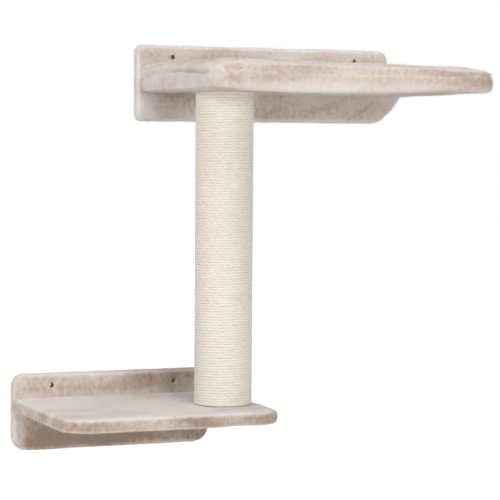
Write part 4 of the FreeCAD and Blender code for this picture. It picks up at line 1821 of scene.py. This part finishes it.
@dataclass
class Studio:
    """White set: a floor well below the object, soft boxes and an even sky."""

    floor_height: float = -1.05
    floor_size: float = 40.0
    floor_tone: tuple = (0.8, 0.8, 0.8, 1.0)
    floor_glow: float = 0.85
    sky: float = 0.28
    target: Vector = Vector((-0.1, -0.15, -0.3))
    lamps: tuple = (
        Lamp("key", Vector((-0.55, -5.4, 0.65)), size=0.6, power=46.0),
        Lamp("front", Vector((1.4, -5.2, -0.3)), size=1.3, power=48.0),
        Lamp("high", Vector((0.6, -4.3, 3.6)), size=1.5, power=19.0),
        Lamp("side", Vector((-4.8, -1.9, 0.9)), size=2.2, power=96.0),
        Lamp("top", Vector((-0.1, -1.2, 4.2)), size=3.0, power=92.0),
    )

    def build(self) -> None:
        """Make the sky, the floor and the lamps."""
        for lamp in self.lamps:
            lamp.hang(self.target)
        self.make_sky()
        self.make_floor()
        bpy.context.scene.view_settings.view_transform = "Standard"

    def make_sky(self) -> None:
        """Give the world an even light, and plain white where the camera or a gloss sees it."""
        world = bpy.data.worlds.new("studio")
        bpy.context.scene.world = world
        world.use_nodes = True
        tree = world.node_tree
        seen = self.seen_ray(tree)
        level = put(tree, "ShaderNodeMapRange", {"Value": seen, "To Min": self.sky, "To Max": 1.0})
        fill(tree, tree.nodes["Background"], {"Color": WHITE, "Strength": level.outputs["Result"]})

    @staticmethod
    def seen_ray(tree: bpy.types.NodeTree) -> bpy.types.NodeSocket:
        """Give 1 on camera, glossy and transmission rays, and 0 on the rest.

        Args:
            tree: The tree that the nodes go into.

        Returns:
            The value.
        """
        path = put(tree, "ShaderNodeLightPath")
        total = path.outputs["Is Camera Ray"]
        for name in ("Is Glossy Ray", "Is Transmission Ray"):
            larger = put(tree, "ShaderNodeMath", {0: total, 1: path.outputs[name]}, operation="MAXIMUM")
            total = larger.outputs["Value"]
        return total

    def make_floor(self) -> None:
        """Lay the floor, which shows white but keeps the object's shadow."""
        bm = bmesh.new()
        bmesh.ops.create_grid(bm, x_segments=1, y_segments=1, size=self.floor_size / 2)
        bmesh.ops.translate(bm, vec=(0.0, 0.0, self.floor_height), verts=bm.verts)
        floor = piece_from("floor", bm)
        material = bpy.data.materials.new("white_floor")
        material.use_nodes = True
        tree = material.node_tree
        shader = tree.nodes["Principled BSDF"]
        fill(tree, shader, {"Base Color": self.floor_tone, "Roughness": 1.0})
        inputs = {0: self.seen_ray(tree), 1: self.floor_glow}
        level = put(tree, "ShaderNodeMath", inputs, operation="MULTIPLY")
        glow = put(tree, "ShaderNodeEmission", {"Strength": level.outputs["Value"]})
        both = put(tree, "ShaderNodeAddShader", {0: shader.outputs["BSDF"], 1: glow.outputs["Emission"]})
        fill(tree, tree.nodes["Material Output"], {"Surface": both.outputs["Shader"]})
        floor.data.materials.append(material)


def side_crease(width: float, depth: float, *stops: tuple) -> Crease:
    """Lay a crease along the padded shelf's left side.

    Args:
        width: Its width.
        depth: Its depth.
        *stops: Pairs of Y and Z along it.

    Returns:
        The crease.
    """
    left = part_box("upper_shelf_cover")[0].x
    return Crease(tuple(Vector((left, y * MM, z * MM)) for y, z in stops), width, depth, Axis.X)


def board_crease(width: float, depth: float, *stops: tuple, shade: float = 0.1) -> Crease:
    """Lay a faint crease across the face of the upper wall board.

    Args:
        width: Its width.
        depth: Its depth.
        *stops: Pairs of X and Z along it.
        shade: How much painted shade it lays in the groove.

    Returns:
        The crease.
    """
    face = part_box("upper_wall_board_cover")[0].y
    points = tuple(Vector((x * MM, face, z * MM)) for x, z in stops)
    return Crease(points, width, depth, Axis.Y, shade=shade)


BOARD_CREASES = (
    board_crease(5.5 * MM, 0.9 * MM, (62, -65), (26, -79), (-6, -96)),
    board_crease(5 * MM, 0.9 * MM, (150, -61), (116, -74), (70, -84)),
    board_crease(5 * MM, 0.8 * MM, (206, -64), (172, -84), (150, -97)),
)
SIDE_CREASES = (
    side_crease(2.8 * MM, 2.0 * MM, (-22, -38), (-34, -33), (-59, -29.5), (-100, -27), (-200, -27.5),
                (-300, -34)),
    side_crease(2.8 * MM, 1.4 * MM, (-28, -20), (-60, -17), (-98, -15)),
    side_crease(2.8 * MM, 1.4 * MM, (-30, -29), (-52, -25), (-100, -22), (-150, -21.5)),
)


WALL_BOARDS = {
    Unit.UPPER: WallBoardSkin(
        "upper_wall_plush", "upper_wall_board_cover",
        Pile(WALL_COMB, seed=3.1, creases=BOARD_CREASES),
        Tufts(WALL_COMB, count=30000, seed=0),
        corners=(10 * MM, 26 * MM, 15 * MM, 10 * MM),
        hole_spacing=324 * MM,
        shelf_level=70 * MM,
        margin=(50 * MM, 24 * MM),
        margin_painted_light=(0.1, 1.0),
        brushed_up=0.25,
        flare=29 * MM,
    ),
    Unit.LOWER: WallBoardSkin(
        "lower_wall_plush", "lower_wall_board_cover",
        Pile(WALL_COMB, seed=6.4),
        Tufts(WALL_COMB, count=30000, seed=1),
        corners=(22 * MM, 28 * MM, 21 * MM, 18 * MM),
        hole_spacing=206 * MM,
        shelf_level=58 * MM,
        margin=(28 * MM, 10 * MM),
        margin_painted_light=(0.4, 0.05),
        under_shelf_shade=1.0,
        post_shadow_span=(-209 * MM, -197 * MM),
        joint_painted_light=0.6,
    ),
}
LOWER_SHELF = PlainShelfSkin(
    "lower_shelf_plush", "lower_shelf_cover",
    Pile(SHELF_COMB, seed=5.7, swell=0.9 * MM),
    Tufts(SHELF_COMB, count=40000, seed=11),
)
UPPER_SHELF = PaddedShelfSkin(
    "upper_shelf_plush", "upper_shelf_cover",
    Pile(PAD_COMB, seed=8.3, swell=1.1 * MM, swell_size=52 * MM, patch=0.24, fleck=0.14,
         creases=SIDE_CREASES),
    Tufts(SHELF_COMB, count=46000, seed=12),
)


def add_plush(wardrobe: Wardrobe, cover: PlushSkin) -> bpy.types.Object:
    """Build a plush skin, dress it, grow its pile and let both ride.

    Args:
        wardrobe: The finishes.
        cover: The plush.

    Returns:
        The skin.
    """
    skin = cover.build()
    pile = cover.tufts.grow(skin.name.replace("plush", "pile"), skin)
    for piece in (skin, pile):
        wardrobe.dress(piece, Slot.PLUSH)
        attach(piece, BODY)
    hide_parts(cover.node)
    LOG.info("%s: %d faces, pile %d faces", skin.name, len(skin.data.polygons), len(pile.data.polygons))
    return skin


def add_piece(wardrobe: Wardrobe, piece: bpy.types.Object, slot: Slot) -> None:
    """Dress a piece and let it ride.

    Args:
        wardrobe: The finishes.
        piece: The piece.
        slot: Its finish's slot.
    """
    wardrobe.dress(piece, slot)
    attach(piece, BODY)
    LOG.info("%s: %d faces", piece.name, len(piece.data.polygons))


def main() -> None:
    """Build the cat climbing wall and its set."""
    logging.basicConfig(level=logging.INFO, format="%(message)s")
    wardrobe = Wardrobe()
    wardrobe.dress_frame()

    for unit, board in WALL_BOARDS.items():
        add_plush(wardrobe, board)
        add_piece(wardrobe, HemStaples(unit).build(), Slot.ZINC)
    add_plush(wardrobe, LOWER_SHELF)
    padded = add_plush(wardrobe, UPPER_SHELF)
    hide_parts("upper_shelf_padding")
    for rope, node in SisalWinding().build():
        add_piece(wardrobe, rope, Slot.SISAL)
        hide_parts(node)

    PhotoCamera().set_up()
    Studio().build()


if __name__ == "__main__":
    main()
